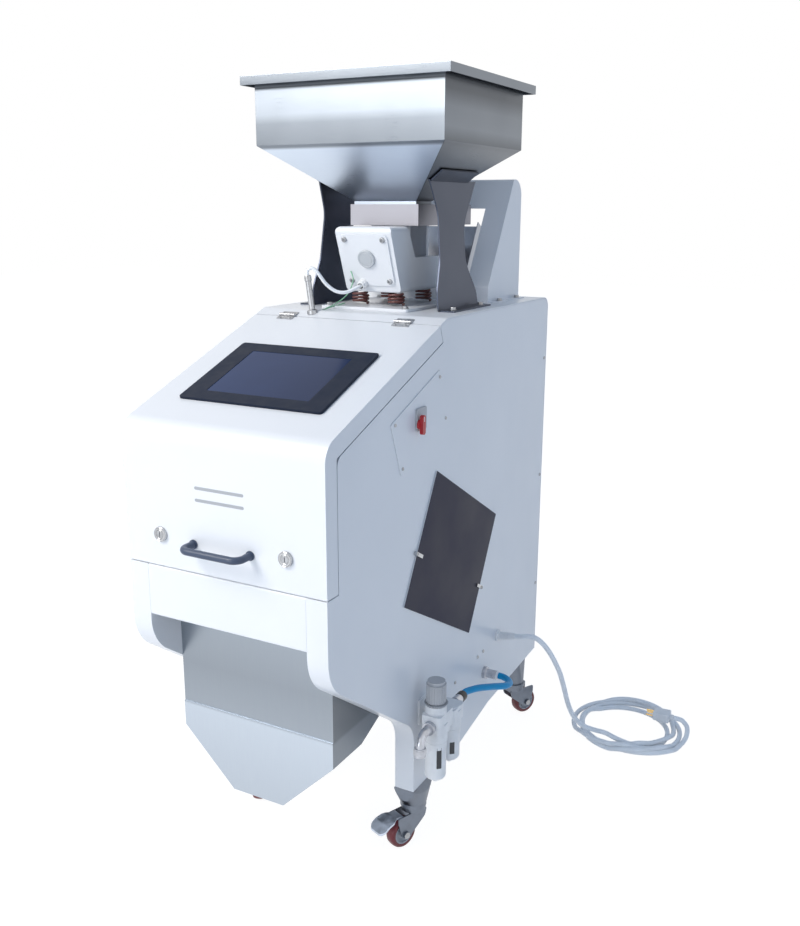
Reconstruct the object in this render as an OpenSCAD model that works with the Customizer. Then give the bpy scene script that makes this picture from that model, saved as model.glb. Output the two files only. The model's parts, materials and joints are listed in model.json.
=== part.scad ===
// Optical colour sorter on casters: a cabinet with a flip-up door, a feed hopper and an outlet chute.
// Frame: X to the right, Y to the rear, Z up, origin on the floor under the middle of the cabinet.

/* [Cabinet] */
// Width over the side panels
body_w = 420; // [390:1:470]
// Depth from the door face to the rear panel
body_d = 966; // [940:1:1000]
// Height of the flat deck above the floor
deck_z = 1066; // [1040:1:1100]
// Height of the front edge of the sloping top
brow_z = 905; // [880:1:930]
// Run of the sloping top, from the front to the flat deck
slope_d = 428; // [400:1:450]
// Radius of the front top edge
brow_r = 40; // [20:1:60]
// Thickness of the cabinet sheet
sheet = 2; // [1.5:0.1:3]
// Width of the folded edges of the side panels
flange_w = 42; // [38:1:46]
// Height of the underside of the legs
leg_z = 136; // [130:1:142]
// Distance from the front to the front face of the legs
leg_d = 303; // [280:1:320]
// Height at which the line of the belly would meet the front
belly_z = 498; // [480:1:510]
// Downward angle of the belly
belly_a = 36; // [33:0.5:38]
// Height of the lower edge at the rear
tail_z = 178; // [170:1:190]

/* [Door] */
// Height of the seam under the door
seam_z = 651; // [630:1:670]
// Depth of the side flanges of the door
door_depth = 34; // [28:1:40]
// Gap round the door
door_gap = 2; // [1:0.1:3]
// Distance of the hinge line in front of the flat deck
hinge_back = 31; // [26:1:40]
// Distance between the two hinges
hinge_span = 262; // [220:1:300]
// Opening angle of the door
door_open = 80; // [60:1:85]
// Width of the screen bezel
bezel_w = 300; // [280:1:320]
// Length of the screen bezel along the slope
bezel_h = 208; // [190:1:220]
// Distance of the bezel from the front edge, along the slope
bezel_up = 90; // [80:1:100]
// Distance between the two locks
lock_span = 264; // [240:1:290]
// Height of the locks
lock_z = 712; // [700:1:725]
// Distance between the posts of the handle
handle_span = 120; // [100:1:140]
// Height of the handle
handle_z = 705; // [695:1:720]
// Diameter of the handle bar
handle_bar = 13; // [11:0.5:15]

/* [Feeding] */
// Width of the hopper walls
hopper_w = 412; // [390:1:430]
// Depth of the hopper walls
hopper_d = 366; // [350:1:380]
// Distance of the hopper centre behind the middle of the cabinet
hopper_y = 113; // [105:1:120]
// Height of the hopper rim above the deck
hopper_up = 444; // [430:1:470]
// Height of the straight hopper walls with the rim
hopper_wall = 128; // [110:1:140]
// Height of the hopper funnel
funnel_h = 104; // [95:1:115]
// Width of the funnel mouth
throat_w = 144; // [130:1:148]
// Depth of the funnel mouth
throat_d = 68; // [60:1:76]
// Overhang of the folded rim
rim_out = 20; // [16:1:26]
// Height of the folded rim
rim_h = 17; // [14:1:22]
// Width of the vibrating trough
trough_w = 158; // [154:1:166]
// Width of the vibrator housing
vibrator_w = 127; // [115:1:135]
// Height of the isolating springs
spring_h = 27; // [25:1:30]
// Mean diameter of the isolating springs
spring_d = 31; // [28:1:34]
// Wire diameter of the isolating springs
spring_wire = 5; // [4:0.5:5.5]

/* [Outlet] */
// Distance from the front of the cabinet to the front of the outlet chute
outlet_back = 77; // [70:1:85]
// Width of the outlet mouth
mouth_w = 111; // [95:1:125]
// Depth of the outlet mouth
mouth_d = 62; // [55:1:70]
// Height of the outlet mouth above the floor
mouth_z = 190; // [180:1:200]
// Height at which the outlet starts to narrow
taper_z = 298; // [285:1:310]
// Angle of the inner slide
slide_a = 60; // [58:0.5:62]
// Width of the inner slide
slide_w = 160; // [150:1:170]

/* [Casters] */
// Diameter of the caster wheels
wheel_d = 63; // [58:1:66]
// Width of the caster wheels
wheel_w = 24; // [20:1:26]
// Distance of the wheel axle from the swivel axis
trail = 33; // [30:1:36]
// Distance of the front swivels from the middle plane
front_caster_x = 189; // [186:1:192]
// Distance of the rear swivels from the middle plane
rear_caster_x = 172; // [165:1:180]
// Angle of the front casters from straight ahead
front_turn = 22; // [0:1:40]
// Angle of the rear casters from straight back
rear_turn = 28; // [0:1:40]

/* [Side fittings] */
// Length of the switch plate
plate_l = 204; // [190:1:215]
// Height of the switch plate
plate_h = 108; // [95:1:115]
// Length of the window cover
cover_l = 339; // [320:1:350]
// Height of the window cover
cover_h = 266; // [250:1:275]
// Turn of the window cover
cover_a = -29.5; // [-31:0.5:-28]
// Distance of the filter unit from the side panel
filter_out = 42; // [38:1:48]
// Diameter of the regulator knob
knob_d = 39; // [34:1:42]
// Diameter of the filter bowls
bowl_d = 42; // [38:1:44]
// Diameter of the air hose
hose_d = 12; // [10:0.5:12.5]
// Diameter of the power cord
cord_d = 11.5; // [10:0.5:12]

/* [Hidden] */
$fn = 48;
arc_steps = 10;
slack = 0.3;
running = 0.05;
over = 1;

half_w = body_w / 2;
inner_w = body_w - 2 * sheet;
mouth_half = half_w - flange_w;
front_y = -body_d / 2;
rear_y = body_d / 2;
slope_a = atan((deck_z - brow_z) / slope_d);
ridge_y = front_y + slope_d;
hinge_y = ridge_y - hinge_back;
leg_y = front_y + leg_d;
arch_z = belly_z - leg_d * tan(belly_a);
door_clear = door_depth + door_gap;

// Outline helpers: a corner is [y, z, radius], and the material lies to the left of the way round
function spot(c) = [c[0], c[1]];
function radius(c, i) = is_undef(c[i][2]) ? 0 : c[i][2];
function unit(v) = v / norm(v);
function left_of(v) = [-v[1], v[0]];
function turned(v, a) = [v[0] * cos(a) - v[1] * sin(a), v[0] * sin(a) + v[1] * cos(a)];
function cross_z(a, b) = a[0] * b[1] - a[1] * b[0];
function way_in(c, i) = unit(spot(c[i]) - spot(c[(i + len(c) - 1) % len(c)]));
function way_out(c, i) = unit(spot(c[(i + 1) % len(c)]) - spot(c[i]));
function miter(a, b) = (left_of(a) + left_of(b)) / (1 + a * b);
function rounded(c, i) = let (a = way_in(c, i), b = way_out(c, i), r = radius(c, i),
        t = atan2(cross_z(a, b), a * b), s = sign(t), m = spot(c[i]) + miter(a, b) * s * r)
    r == 0 ? [spot(c[i])] : [for (k = [0:arc_steps]) m - turned(left_of(a) * s * r, t * k / arc_steps)];
function closed(c) = [for (i = [0:len(c) - 1]) each rounded(c, i)];
function open(c) = [for (i = [0:len(c) - 1]) each
    (i == 0 || i == len(c) - 1) ? [spot(c[i])] : rounded(c, i)];
function inset(c, d) = [for (i = [0:len(c) - 1])
    let (a = way_in(c, i), b = way_out(c, i), p = spot(c[i]) + miter(a, b) * d)
    [p[0], p[1], radius(c, i) == 0 ? 0 : max(0, radius(c, i) - d * sign(cross_z(a, b)))]];
function shifted(c, d) = let (n = len(c), q = inset(c, d)) [for (i = [0:n - 1])
    i == 0 ? concat(spot(c[0]) + left_of(way_out(c, 0)) * d, 0)
    : i == n - 1 ? concat(spot(c[i]) + left_of(way_in(c, i)) * d, 0) : q[i]];
function trimmed(c, t) = let (n = len(c)) [for (i = [0:n - 1])
    i == 0 ? concat(spot(c[0]) + way_out(c, 0) * t, 0)
    : i == n - 1 ? concat(spot(c[i]) - way_in(c, i) * t, 0) : c[i]];
function backwards(v) = [for (i = [len(v) - 1:-1:0]) v[i]];
function band(c, d) = concat(open(c), backwards(open(shifted(c, d))));

// Places on the slope of the door and deck
function slope_at(y) = brow_z + (y - front_y) * tan(slope_a);
function under_slope(y, drop) = [y + drop * sin(slope_a), slope_at(y) - drop * cos(slope_a)];

// Extrudes a side view across the middle plane
module across(w) { rotate([90, 0, 90]) linear_extrude(w, center = true) children(); }
// Extrudes a side view from the plane x outwards
module beside(x, t) { translate([x, 0, 0]) rotate([90, 0, 90]) linear_extrude(t) children(); }
// Puts children on the slope, u along it from the front edge
module on_slope(u) {
    translate([0, front_y, brow_z]) rotate([slope_a, 0, 0]) translate([0, u, 0]) children();
}
module both_sides() { children(); mirror([1, 0, 0]) children(); }
module box(x, y, z, at = [0, 0, 0]) { translate([at[0] - x / 2, at[1] - y / 2, at[2]]) cube([x, y, z]); }
module rod(r, h, at = [0, 0, 0]) { translate(at) cylinder(r = r, h = h); }
module rod_x(r, h, at = [0, 0, 0]) { translate(at) rotate([0, 90, 0]) cylinder(r = r, h = h); }
module rod_y(r, h, at = [0, 0, 0]) { translate(at) rotate([-90, 0, 0]) cylinder(r = r, h = h); }
module plaque(w, h, t, r) { linear_extrude(t) polygon(closed([[-w / 2, -h / 2, r], [w / 2, -h / 2, r],
    [w / 2, h / 2, r], [-w / 2, h / 2, r]])); }
// A square tube along Y or X
module tube_y(w, h, l, wall) { difference() { box(w, l, h);
    translate([0, 0, wall]) box(w - 2 * wall, l + 2 * over, h - 2 * wall); } }
module tube_x(l, w, h, wall) { rotate([0, 0, 90]) tube_y(w, h, l, wall); }

// Swept tubes: rings stand square to the path
function path_dir(p, i) = unit(p[min(i + 1, len(p) - 1)] - p[max(i - 1, 0)]);
function ring_x(d) = abs(d[2]) > 0.9 ? unit(cross(d, [0, 1, 0])) : unit(cross(d, [0, 0, 1]));
function ring(p, i, r, n) = let (d = path_dir(p, i), u = ring_x(d), v = cross(d, u))
    [for (k = [0:n - 1]) p[i] + r * (u * cos(360 * k / n) + v * sin(360 * k / n))];
function spline_point(p, s) = let (m = len(p) - 1, i = min(floor(s), m - 1), t = s - i,
    a = p[max(i - 1, 0)], b = p[i], c = p[i + 1], d = p[min(i + 2, m)])
    0.5 * (2 * b + (c - a) * t + (2 * a - 5 * b + 4 * c - d) * t * t
    + (3 * b - a - 3 * c + d) * t * t * t);
function spline(p, n) = [for (k = [0:n]) spline_point(p, (len(p) - 1) * k / n)];
module sweep(p, r, n) {
    m = len(p);
    polyhedron([for (i = [0:m - 1]) each ring(p, i, r, n)], concat(
        [[for (k = [n - 1:-1:0]) k]], [[for (k = [0:n - 1]) (m - 1) * n + k]],
        [for (i = [0:m - 2], k = [0:n - 1]) [i * n + k, i * n + (k + 1) % n,
            (i + 1) * n + (k + 1) % n, (i + 1) * n + k]]));
}

// Cabinet
belly_r = 90;
arch_r = 65;
heel_y = 40;
heel_run = 150;
heel_rise = 27;
deck_drop = 60;
rear_r = 25;
ridge_r = 30;
deck_line = [[rear_y, deck_z - deck_drop], [rear_y, deck_z, rear_r], [ridge_y, deck_z, ridge_r],
    [hinge_y + door_gap, slope_at(hinge_y + door_gap)]];
deck_seat = shifted(deck_line, sheet + slack);
side_outline = [
    [front_y, seam_z, 0], [front_y, belly_z, belly_r], [leg_y, arch_z, arch_r], [leg_y, leg_z, 0],
    [heel_y, leg_z, 60], [heel_y + heel_run, leg_z + heel_rise, 60], [deck_seat[1][0], tail_z, 0],
    deck_seat[1], deck_seat[2], deck_seat[3], concat(under_slope(hinge_y + door_gap, door_clear), 0),
    concat(spot(inset([[hinge_y, slope_at(hinge_y)], [front_y, brow_z], [front_y, seam_z]],
        door_clear)[1]), brow_r / 2), [front_y + door_clear, seam_z, 0]];
door_line = [[hinge_y, slope_at(hinge_y)], [front_y, brow_z, brow_r], [front_y, seam_z + door_gap]];

// Window and switch on the right panel
cover_t = 3;
cover_at = [-15, 582];
window_lip = 20;
plate_at = [-162, 888];
plate_t = 2;
gland_at = [232, 312];
gland_r = 9;
bulkhead_at = [160, 250];
bulkhead_r = 10;
module on_right(at, a = 0) { translate([half_w, at[0], at[1]]) rotate([90, 0, 90]) rotate(a) children(); }

cheek_d = 150;
cheek_top = 567;
module side_shell() {
    beside(-half_w, sheet) polygon(closed(side_outline));
    beside(-half_w + flange_w - sheet, sheet) intersection() {
        polygon(closed(side_outline));
        translate([front_y, 0]) square([cheek_d, cheek_top]);
    }
    difference() {
        beside(-half_w, flange_w) polygon(closed(side_outline));
        beside(-half_w - over, flange_w + 2 * over) polygon(closed(inset(side_outline, sheet)));
    }
}
module side_panel_left() { color("white") side_shell(); }
module side_panel_right() {
    color("white") difference() {
        mirror([1, 0, 0]) side_shell();
        on_right(cover_at, cover_a) translate([0, 0, -sheet - over])
            plaque(cover_l - 2 * window_lip, cover_h - 2 * window_lip, sheet + 2 * over, 6);
        rod_x(gland_r + slack, 2 * over + sheet, [half_w - sheet - over, gland_at[0], gland_at[1]]);
        rod_x(bulkhead_r + slack, 2 * over + sheet, [half_w - sheet - over, bulkhead_at[0], bulkhead_at[1]]);
    }
}

vent_w = 130;
vent_h = 6;
vent_pitch = 18;
vent_rows = 9;
vent_low = 300;
module rear_panel() {
    color("white") difference() {
        box(body_w, sheet, deck_z - deck_drop - tail_z, [0, rear_y - sheet / 2, tail_z]);
        for (s = [-1, 1], i = [0:vent_rows - 1])
            translate([s * body_w / 5, rear_y + over, vent_low + i * vent_pitch]) rotate([90, 0, 0])
                plaque(vent_w, vent_h, sheet + 2 * over, vent_h / 2.1);
    }
}

// Grain slot and cable hole in the deck
slide_gap = 50;
hood_low_y = 261;
hood_bend_z = 34 + deck_z;
hood_top_z = deck_z + 261;
slot_d = 40;
mast_at = [-84, -66];
mast_r = 6;
module top_deck() {
    color("white") difference() {
        across(body_w) polygon(band(deck_line, sheet));
        box(slide_w + 24, slot_d, 4 * sheet, [0, hood_low_y + 2 * sheet + slot_d / 2, deck_z - 2 * sheet]);
        rod(mast_r + slack, 40, [mast_at[0], mast_at[1], deck_z - 30]);
    }
}

cut_z = 554;
shelf_d = 18;
return_d = 14;
tab_w = 24;
module lower_front_panel() {
    color("white") {
        across(2 * mouth_half) polygon(band([[front_y + shelf_d, seam_z], [front_y, seam_z, 4],
            [front_y, cut_z, 4], [front_y + return_d, cut_z]], sheet));
        both_sides() translate([mouth_half - tab_w / 2, front_y + sheet, cut_z + return_d])
            cube([1.5 * tab_w, sheet, seam_z - cut_z - 2 * return_d]);
    }
}

// Welded base of square tubes, with a post in the foot of each front leg
tube = 40;
tube_wall = 3;
frame_z = 153;
frame_x = 130;
cross_y = 82;
rear_tube_y = rear_y - sheet - tube / 2 - over;
post_w = 32;
post_in = 4;
post_h = 110;
front_caster_y = leg_y + 40;
module base_frame() {
    color("white") {
        translate([0, cross_y, frame_z]) tube_x(inner_w, tube, tube, tube_wall);
        translate([0, rear_tube_y, frame_z]) tube_x(2 * frame_x + tube, tube, tube, tube_wall);
        both_sides() {
            translate([frame_x, (cross_y + rear_tube_y) / 2, frame_z])
                tube_y(tube, tube, rear_tube_y - cross_y - tube, tube_wall);
            translate([half_w - sheet - post_in - post_w / 2, front_caster_y, leg_z + sheet]) difference() {
                box(post_w, 2 * post_w, post_h);
                box(post_w - 2 * tube_wall, 2 * (post_w - tube_wall), post_h + 2 * over, [0, 0, -over]);
            }
        }
    }
}

// Inner slide, parallel to the front plate of the hood
slide_t = 2;
slide_wall = 20;
slide_dir = [-cos(slide_a), -sin(slide_a)];
slide_out = left_of(slide_dir);
slide_top_z = deck_z + 159;
slide_top = [hood_low_y + (slide_top_z - hood_bend_z) / tan(slide_a) + slide_gap, slide_top_z];
slide_l = 676;
function slide_at(u, w) = slide_top + slide_dir * u + slide_out * w;
module slide_band(w, u, e, d) { across(w) polygon(band([slide_at(u, d), slide_at(u + e, d)], slide_t)); }
module slide_chute() {
    color("gainsboro") {
        slide_band(slide_w, 0, slide_l, 0);
        both_sides() translate([slide_w / 2 - slide_t / 2, 0, 0]) across(slide_t)
            polygon(band([slide_at(0, 0), slide_at(slide_l, 0)], -slide_wall));
    }
}

// Sorting zone: cameras, lamps and ejector round the point where the grain leaves the slide
scan = slide_at(slide_l + 50, 0);
cam_w = 240;
cam_d = 110;
cam_h = 84;
lens_r = 20;
case_t = 3;
lens_l = 36;
cam_reach = 250;
front_cam_a = -30;
rear_cam_a = 158;
bar_h = 12;
bar_d = 40;
module toward(a, reach) {
    translate([0, scan[0], scan[1]]) rotate([a, 0, 0]) translate([0, -reach, 0]) children();
}
module camera_body() {
    difference() {
        union() {
            box(cam_w, cam_d, cam_h, [0, 0, -cam_h / 2]);
            rod_y(lens_r + 6, 10, [0, cam_d / 2, 0]);
            rod_y(lens_r, lens_l, [0, cam_d / 2, 0]);
        }
        rod_y(lens_r - 4, lens_l, [0, cam_d / 2 + lens_l - 6, 0]);
        box(cam_w - 2 * case_t, cam_d, cam_h - 2 * case_t, [0, -case_t, -cam_h / 2 + case_t]);
    }
}
module camera_boxes() {
    color("dimgray") for (a = [front_cam_a, rear_cam_a]) toward(a, cam_reach) camera_body();
}
bar_places = [240, 600];
bar_l = 34;
module cross_bars() {
    color("silver") {
        for (u = bar_places) across(inner_w)
            polygon(band([slide_at(u, slide_t), slide_at(u + bar_l, slide_t)], bar_h));
        for (a = [front_cam_a, rear_cam_a]) toward(a, cam_reach)
            box(inner_w, bar_d, bar_h, [0, 0, -cam_h / 2 - bar_h]);
    }
}
lamp_r = 12;
lamp_places = [[-80, 80], [-92, -20], [86, 40], [100, -60]];
module lamp_bars() {
    color("aliceblue") for (p = lamp_places)
        rod_x(lamp_r, inner_w, [-inner_w / 2, scan[0] + p[0], scan[1] + p[1]]);
}
ejector_d = 46;
ejector_h = 30;
ejector_at = [scan[0] + 44, scan[1] - 96];
nozzle_r = 2.5;
nozzle_pitch = 10;
module ejector_bar() {
    color("dimgray") difference() {
        box(inner_w, ejector_d, ejector_h, [0, ejector_at[0], ejector_at[1]]);
        for (i = [-7:7]) rod_y(nozzle_r, 16, [i * nozzle_pitch, ejector_at[0] - ejector_d / 2 - over,
            ejector_at[1] + ejector_h / 2]);
    }
}
control_w = 300;
control_d = 110;
control_z = 600;
control_h = 330;
module control_box() {
    color("lightgray") translate([0, rear_y - sheet - control_d / 2, control_z]) difference() {
        union() {
            box(control_w, control_d, control_h);
            box(control_w - 40, control_d, control_h - 40, [0, -4, 20]);
        }
        box(control_w - 2 * case_t, control_d, control_h - 2 * case_t, [0, case_t, case_t]);
    }
}

// Outlet chute: the side view and the front view cut each other
outlet_y = front_y + outlet_back;
outlet_top = 566;
spout_z = 284;
outlet_in = [30, 432];
outlet_lip = 480;
outlet_side = [[outlet_y, outlet_top, 0], [outlet_y, mouth_z, 0], [outlet_y + mouth_d, mouth_z, 0],
    [outlet_y + mouth_d, spout_z, 0], [outlet_in[0], outlet_in[1], 0], [outlet_in[0], outlet_lip, 0]];
function outlet_front(t) = [[-mouth_half + t, outlet_top + over], [-mouth_half + t, taper_z],
    [-mouth_w / 2 + t, mouth_z - over], [mouth_w / 2 - t, mouth_z - over], [mouth_half - t, taper_z],
    [mouth_half - t, outlet_top + over]];
module front_view(c) { translate([0, rear_y, 0]) rotate([90, 0, 0]) linear_extrude(body_d) polygon(c); }
outlet_hollow = [[outlet_y + sheet, outlet_top + 9 * over, 0], [outlet_y + sheet, mouth_z - 2 * over, 0],
    [outlet_y + mouth_d - sheet, mouth_z - 2 * over, 0], [outlet_y + mouth_d - sheet, spout_z + sheet, 0],
    [outlet_in[0] - sheet, outlet_in[1] + sheet, 0], [outlet_in[0] - sheet, outlet_lip + 9 * over, 0]];
lap_z = 349;
module outlet_chute() {
    color("silver") intersection() {
        translate([-half_w, outlet_y - sheet, mouth_z]) cube([body_w, sheet, lap_z - mouth_z]);
        front_view(outlet_front(0));
    }
    color("silver") difference() {
        intersection() {
            across(body_w) polygon(closed(outlet_side));
            front_view(outlet_front(0));
        }
        intersection() {
            across(body_w) polygon(closed(outlet_hollow));
            front_view(outlet_front(sheet));
        }
    }
}
splitter_top = [scan[0] - 60, scan[1] - 60];
splitter_low = [-250, 400];
module splitter_plate() {
    color("silver") across(2 * (mouth_half - sheet)) polygon(band([splitter_top, splitter_low], sheet));
}

// Hopper of bent sheet
hopper_top = deck_z + hopper_up;
crease_z = hopper_top - hopper_wall;
throat_z = crease_z - funnel_h;
collar_h = 14;
module frustum(w1, d1, z1, w2, d2, z2) {
    polyhedron([for (q = [[w1, d1, z1], [w2, d2, z2]], s = [[-1, -1], [1, -1], [1, 1], [-1, 1]])
            [s[0] * q[0] / 2, s[1] * q[1] / 2, q[2]]],
        [[0, 1, 2, 3], [7, 6, 5, 4], [4, 5, 1, 0], [5, 6, 2, 1], [6, 7, 3, 2], [7, 4, 0, 3]]);
}
module hopper() {
    color("silver") translate([0, hopper_y, 0]) difference() {
        union() {
            box(hopper_w, hopper_d, hopper_wall, [0, 0, crease_z]);
            frustum(throat_w, throat_d, throat_z, hopper_w, hopper_d, crease_z);
            box(throat_w, throat_d, collar_h, [0, 0, throat_z - collar_h]);
            box(hopper_w + 2 * rim_out, hopper_d + 2 * rim_out, rim_h, [0, 0, hopper_top - rim_h]);
        }
        difference() {
            box(hopper_w + 2 * rim_out - 2 * sheet, hopper_d + 2 * rim_out - 2 * sheet, rim_h,
                [0, 0, hopper_top - rim_h - sheet]);
            box(hopper_w, hopper_d, hopper_wall, [0, 0, crease_z]);
        }
        box(hopper_w - 2 * sheet, hopper_d - 2 * sheet, hopper_wall + over, [0, 0, crease_z]);
        frustum(throat_w - 2 * sheet, throat_d - 2 * sheet, throat_z, hopper_w - 2 * sheet,
            hopper_d - 2 * sheet, crease_z);
        box(throat_w - 2 * sheet, throat_d - 2 * sheet, collar_h + 2 * over,
            [0, 0, throat_z - collar_h - over]);
    }
}

// Two waisted brackets that carry the funnel by its sides
bracket_t = 3;
bracket_foot_x = 148;
bracket_top_z = deck_z + 252;
bracket_front_y = 30;
bracket_rear_y = 218;
bracket_foot_w = 34;
funnel_a = atan(funnel_h / ((hopper_w - throat_w) / 2));
function funnel_x(z) = throat_w / 2 + (z - throat_z) / tan(funnel_a);
bracket_top_x = funnel_x(bracket_top_z) + bracket_t / 2 + slack;
bracket_h = bracket_top_z - deck_z;
bracket_lean = atan((bracket_foot_x - bracket_top_x) / bracket_h);
bracket_l = bracket_h / cos(bracket_lean);
bracket_outline = [[bracket_front_y, 0, 4], [bracket_rear_y, 0, 4], [bracket_rear_y - 6, 30, 40],
    [bracket_rear_y - 50, 92, 70], [bracket_rear_y - 46, 168, 70], [bracket_rear_y + 24, bracket_l, 0],
    [bracket_front_y, bracket_l, 0], [bracket_front_y + 28, bracket_l - 64, 60],
    [bracket_front_y + 22, 98, 80], [bracket_front_y, 40, 50]];
bracket_lap = 34;
module hopper_brackets() {
    color("silver") both_sides() {
        translate([bracket_foot_x, 0, deck_z + bracket_t * sin(bracket_lean)]) rotate([0, -bracket_lean, 0])
            translate([-bracket_t / 2, 0, 0]) rotate([90, 0, 90]) linear_extrude(bracket_t)
            polygon(closed(bracket_outline));
        translate([bracket_foot_x - bracket_t / 2, bracket_front_y + 4, deck_z])
            cube([bracket_foot_w, bracket_rear_y - bracket_front_y - 8, bracket_t]);
        translate([funnel_x(bracket_top_z) + slack, bracket_front_y + 4, bracket_top_z - 2])
            rotate([0, -funnel_a, 0]) translate([0, 0, -bracket_t])
            cube([bracket_lap, bracket_rear_y - bracket_front_y - 20, bracket_t]);
    }
}

// Hood over the top of the slide, open at the back
hood_w = 306;
hood_rear_y = 437;
hood_r = 36;
hood_top_y = hood_low_y + (hood_top_z - hood_bend_z) / tan(slide_a);
hood_line = [[hood_top_y + 12, hood_top_z], [hood_top_y, hood_top_z, 6], [hood_low_y, hood_bend_z, 12],
    [hood_low_y, deck_z]];
hood_side = [[hood_low_y, deck_z, 0], [hood_rear_y, deck_z, 0], [hood_rear_y, hood_top_z, hood_r],
    [hood_top_y, hood_top_z, 6], [hood_low_y, hood_bend_z, 12]];
hood_stile = 52;
hood_window = [deck_z + 54, deck_z + 198];
hood_foot = 18;
module chute_hood() {
    color("white") {
        difference() {
            across(hood_w) polygon(band(hood_line, sheet));
            box(hood_w - 2 * hood_stile, 200, hood_window[1] - hood_window[0],
                [0, hood_low_y + 60, hood_window[0]]);
        }
        both_sides() {
            beside(hood_w / 2 - sheet, sheet) polygon(closed(hood_side));
            translate([hood_w / 2, hood_low_y + 20, deck_z])
                cube([hood_foot, hood_rear_y - hood_low_y - 30, sheet]);
        }
    }
}

// Vibrating feeder on four springs
feeder_plate_h = 6;
feeder_plate_w = 200;
feeder_front_y = 18;
feeder_rear_y = 205;
spring_x = 42;
spring_y = [52, 172];
feeder_z = deck_z + feeder_plate_h + spring_h;
module feeder_plate() {
    color("white") translate([0, (feeder_front_y + feeder_rear_y) / 2 - 4, deck_z])
        plaque(feeder_plate_w, feeder_rear_y - feeder_front_y + 50, feeder_plate_h, 6);
}
spring_turns = 3;
spring_steps = 16;
module coil_spring() {
    n = spring_turns * spring_steps;
    rise = spring_h - spring_wire - 2 * slack;
    r = spring_d / 2;
    sweep([for (i = [0:n]) [r * cos(360 * i / spring_steps), r * sin(360 * i / spring_steps),
        spring_wire / 2 + slack + rise * i / n]], spring_wire / 2, 8);
}
module feeder_springs() {
    color("firebrick") for (s = [-1, 1], y = spring_y)
        translate([s * spring_x, y, feeder_z - spring_h]) coil_spring();
}
vibrator_h = 130;
vibrator_tilt = 20.5;
vibrator_low_y = 34;
vibrator_top_y = vibrator_low_y - vibrator_h * tan(vibrator_tilt);
vibrator_back = 62;
sled_h = 68;
vibrator_side = [[vibrator_low_y, feeder_z, 5], [feeder_rear_y, feeder_z, 5],
    [feeder_rear_y, feeder_z + sled_h, 8], [vibrator_back + 30, feeder_z + sled_h, 8],
    [vibrator_back, feeder_z + vibrator_h, 6],
    [vibrator_top_y, feeder_z + vibrator_h, 10]];
trough_z = deck_z + 164;
trough_h = 42;
trough_l = 252;
trough_y = hopper_y - throat_d / 2 - 4;
post_y = [104, 186];
module feeder_housing() {
    color("white") {
        intersection() {
            across(body_w) polygon(closed(vibrator_side));
            translate([0, feeder_rear_y + over, feeder_z + vibrator_h / 2]) rotate([90, 0, 0])
                plaque(vibrator_w, vibrator_h, 2 * feeder_rear_y, 10);
        }
        for (y = post_y) box(vibrator_w - 40, 10, trough_z - feeder_z - sled_h, [0, y, feeder_z + sled_h]);
    }
}
vibrator_face = vibrator_h / cos(vibrator_tilt);
face_plate = 108;
face_t = 3;
cap_r = 19;
cap_t = 8;
bush_r = 10;
bush_l = 18;
bush_x = -18;
bush_v = 20;
bush_tip = [bush_x, vibrator_low_y - bush_v * sin(vibrator_tilt) - bush_l * cos(vibrator_tilt),
    feeder_z + bush_v * cos(vibrator_tilt) - bush_l * sin(vibrator_tilt)];
module on_face(v) { translate([0, vibrator_low_y, feeder_z]) rotate([90 + vibrator_tilt, 0, 0])
    translate([0, v, 0]) children(); }
module feeder_cover() {
    color("white") difference() {
        union() {
            on_face(vibrator_face / 2) plaque(face_plate, face_plate, face_t, 10);
            on_face(vibrator_face / 2 + 4) rod(cap_r, cap_t);
            on_face(bush_v) rod(bush_r, bush_l, [bush_x, 0, 0]);
        }
        on_face(bush_v) rod(lead_r + lead_play, bush_l, [bush_x, 0, face_t + over]);
    }
}
module feeder_trough() {
    color("silver") difference() {
        box(trough_w, trough_l, trough_h, [0, trough_y + trough_l / 2, trough_z]);
        box(trough_w - 2 * sheet, trough_l, trough_h, [0, trough_y + trough_l / 2 + sheet, trough_z + sheet]);
    }
}

// Mast on the slope and the lead from it to the vibrator, loose in its bush
mast_l = 74;
mast_foot_r = 11;
mast_lean = 8;
lead_r = 3.5;
lead_play = 3;
mast_z = slope_at(mast_at[1]);
mast_tip = [mast_at[0] - mast_l * sin(mast_lean), mast_at[1], mast_z + mast_l * cos(mast_lean)];
module cable_mast() {
    color("lightgray") difference() {
        union() {
            rod(mast_foot_r, 12, [mast_at[0], mast_at[1], mast_z - 6]);
            translate([mast_at[0], mast_at[1], mast_z]) rotate([0, -mast_lean, 0]) rod(mast_r, mast_l);
        }
        translate([mast_at[0], mast_at[1], mast_z]) rotate([0, -mast_lean, 0])
            rod(lead_r + slack, mast_l, [0, 0, 8]);
        translate([mast_at[0], 0, 0]) on_slope((mast_at[1] - front_y) / cos(slope_a))
            box(60, 60, 30, [0, 0, -30]);
    }
}
lead_route = [mast_tip + [1.4, 0, -10], mast_tip, mast_tip + [0, 0, 9], mast_tip + [8, 3, 14],
    mast_tip + [18, 8, 6], [-64, -46, 1118], [-50, -34, 1104], [-34, -22, 1101],
    bush_tip + [-4, -10, -3], bush_tip + [0, 6, 2]];
module feeder_cable() { color("white") sweep(spline(lead_route, 36), lead_r, 8); }

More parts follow.
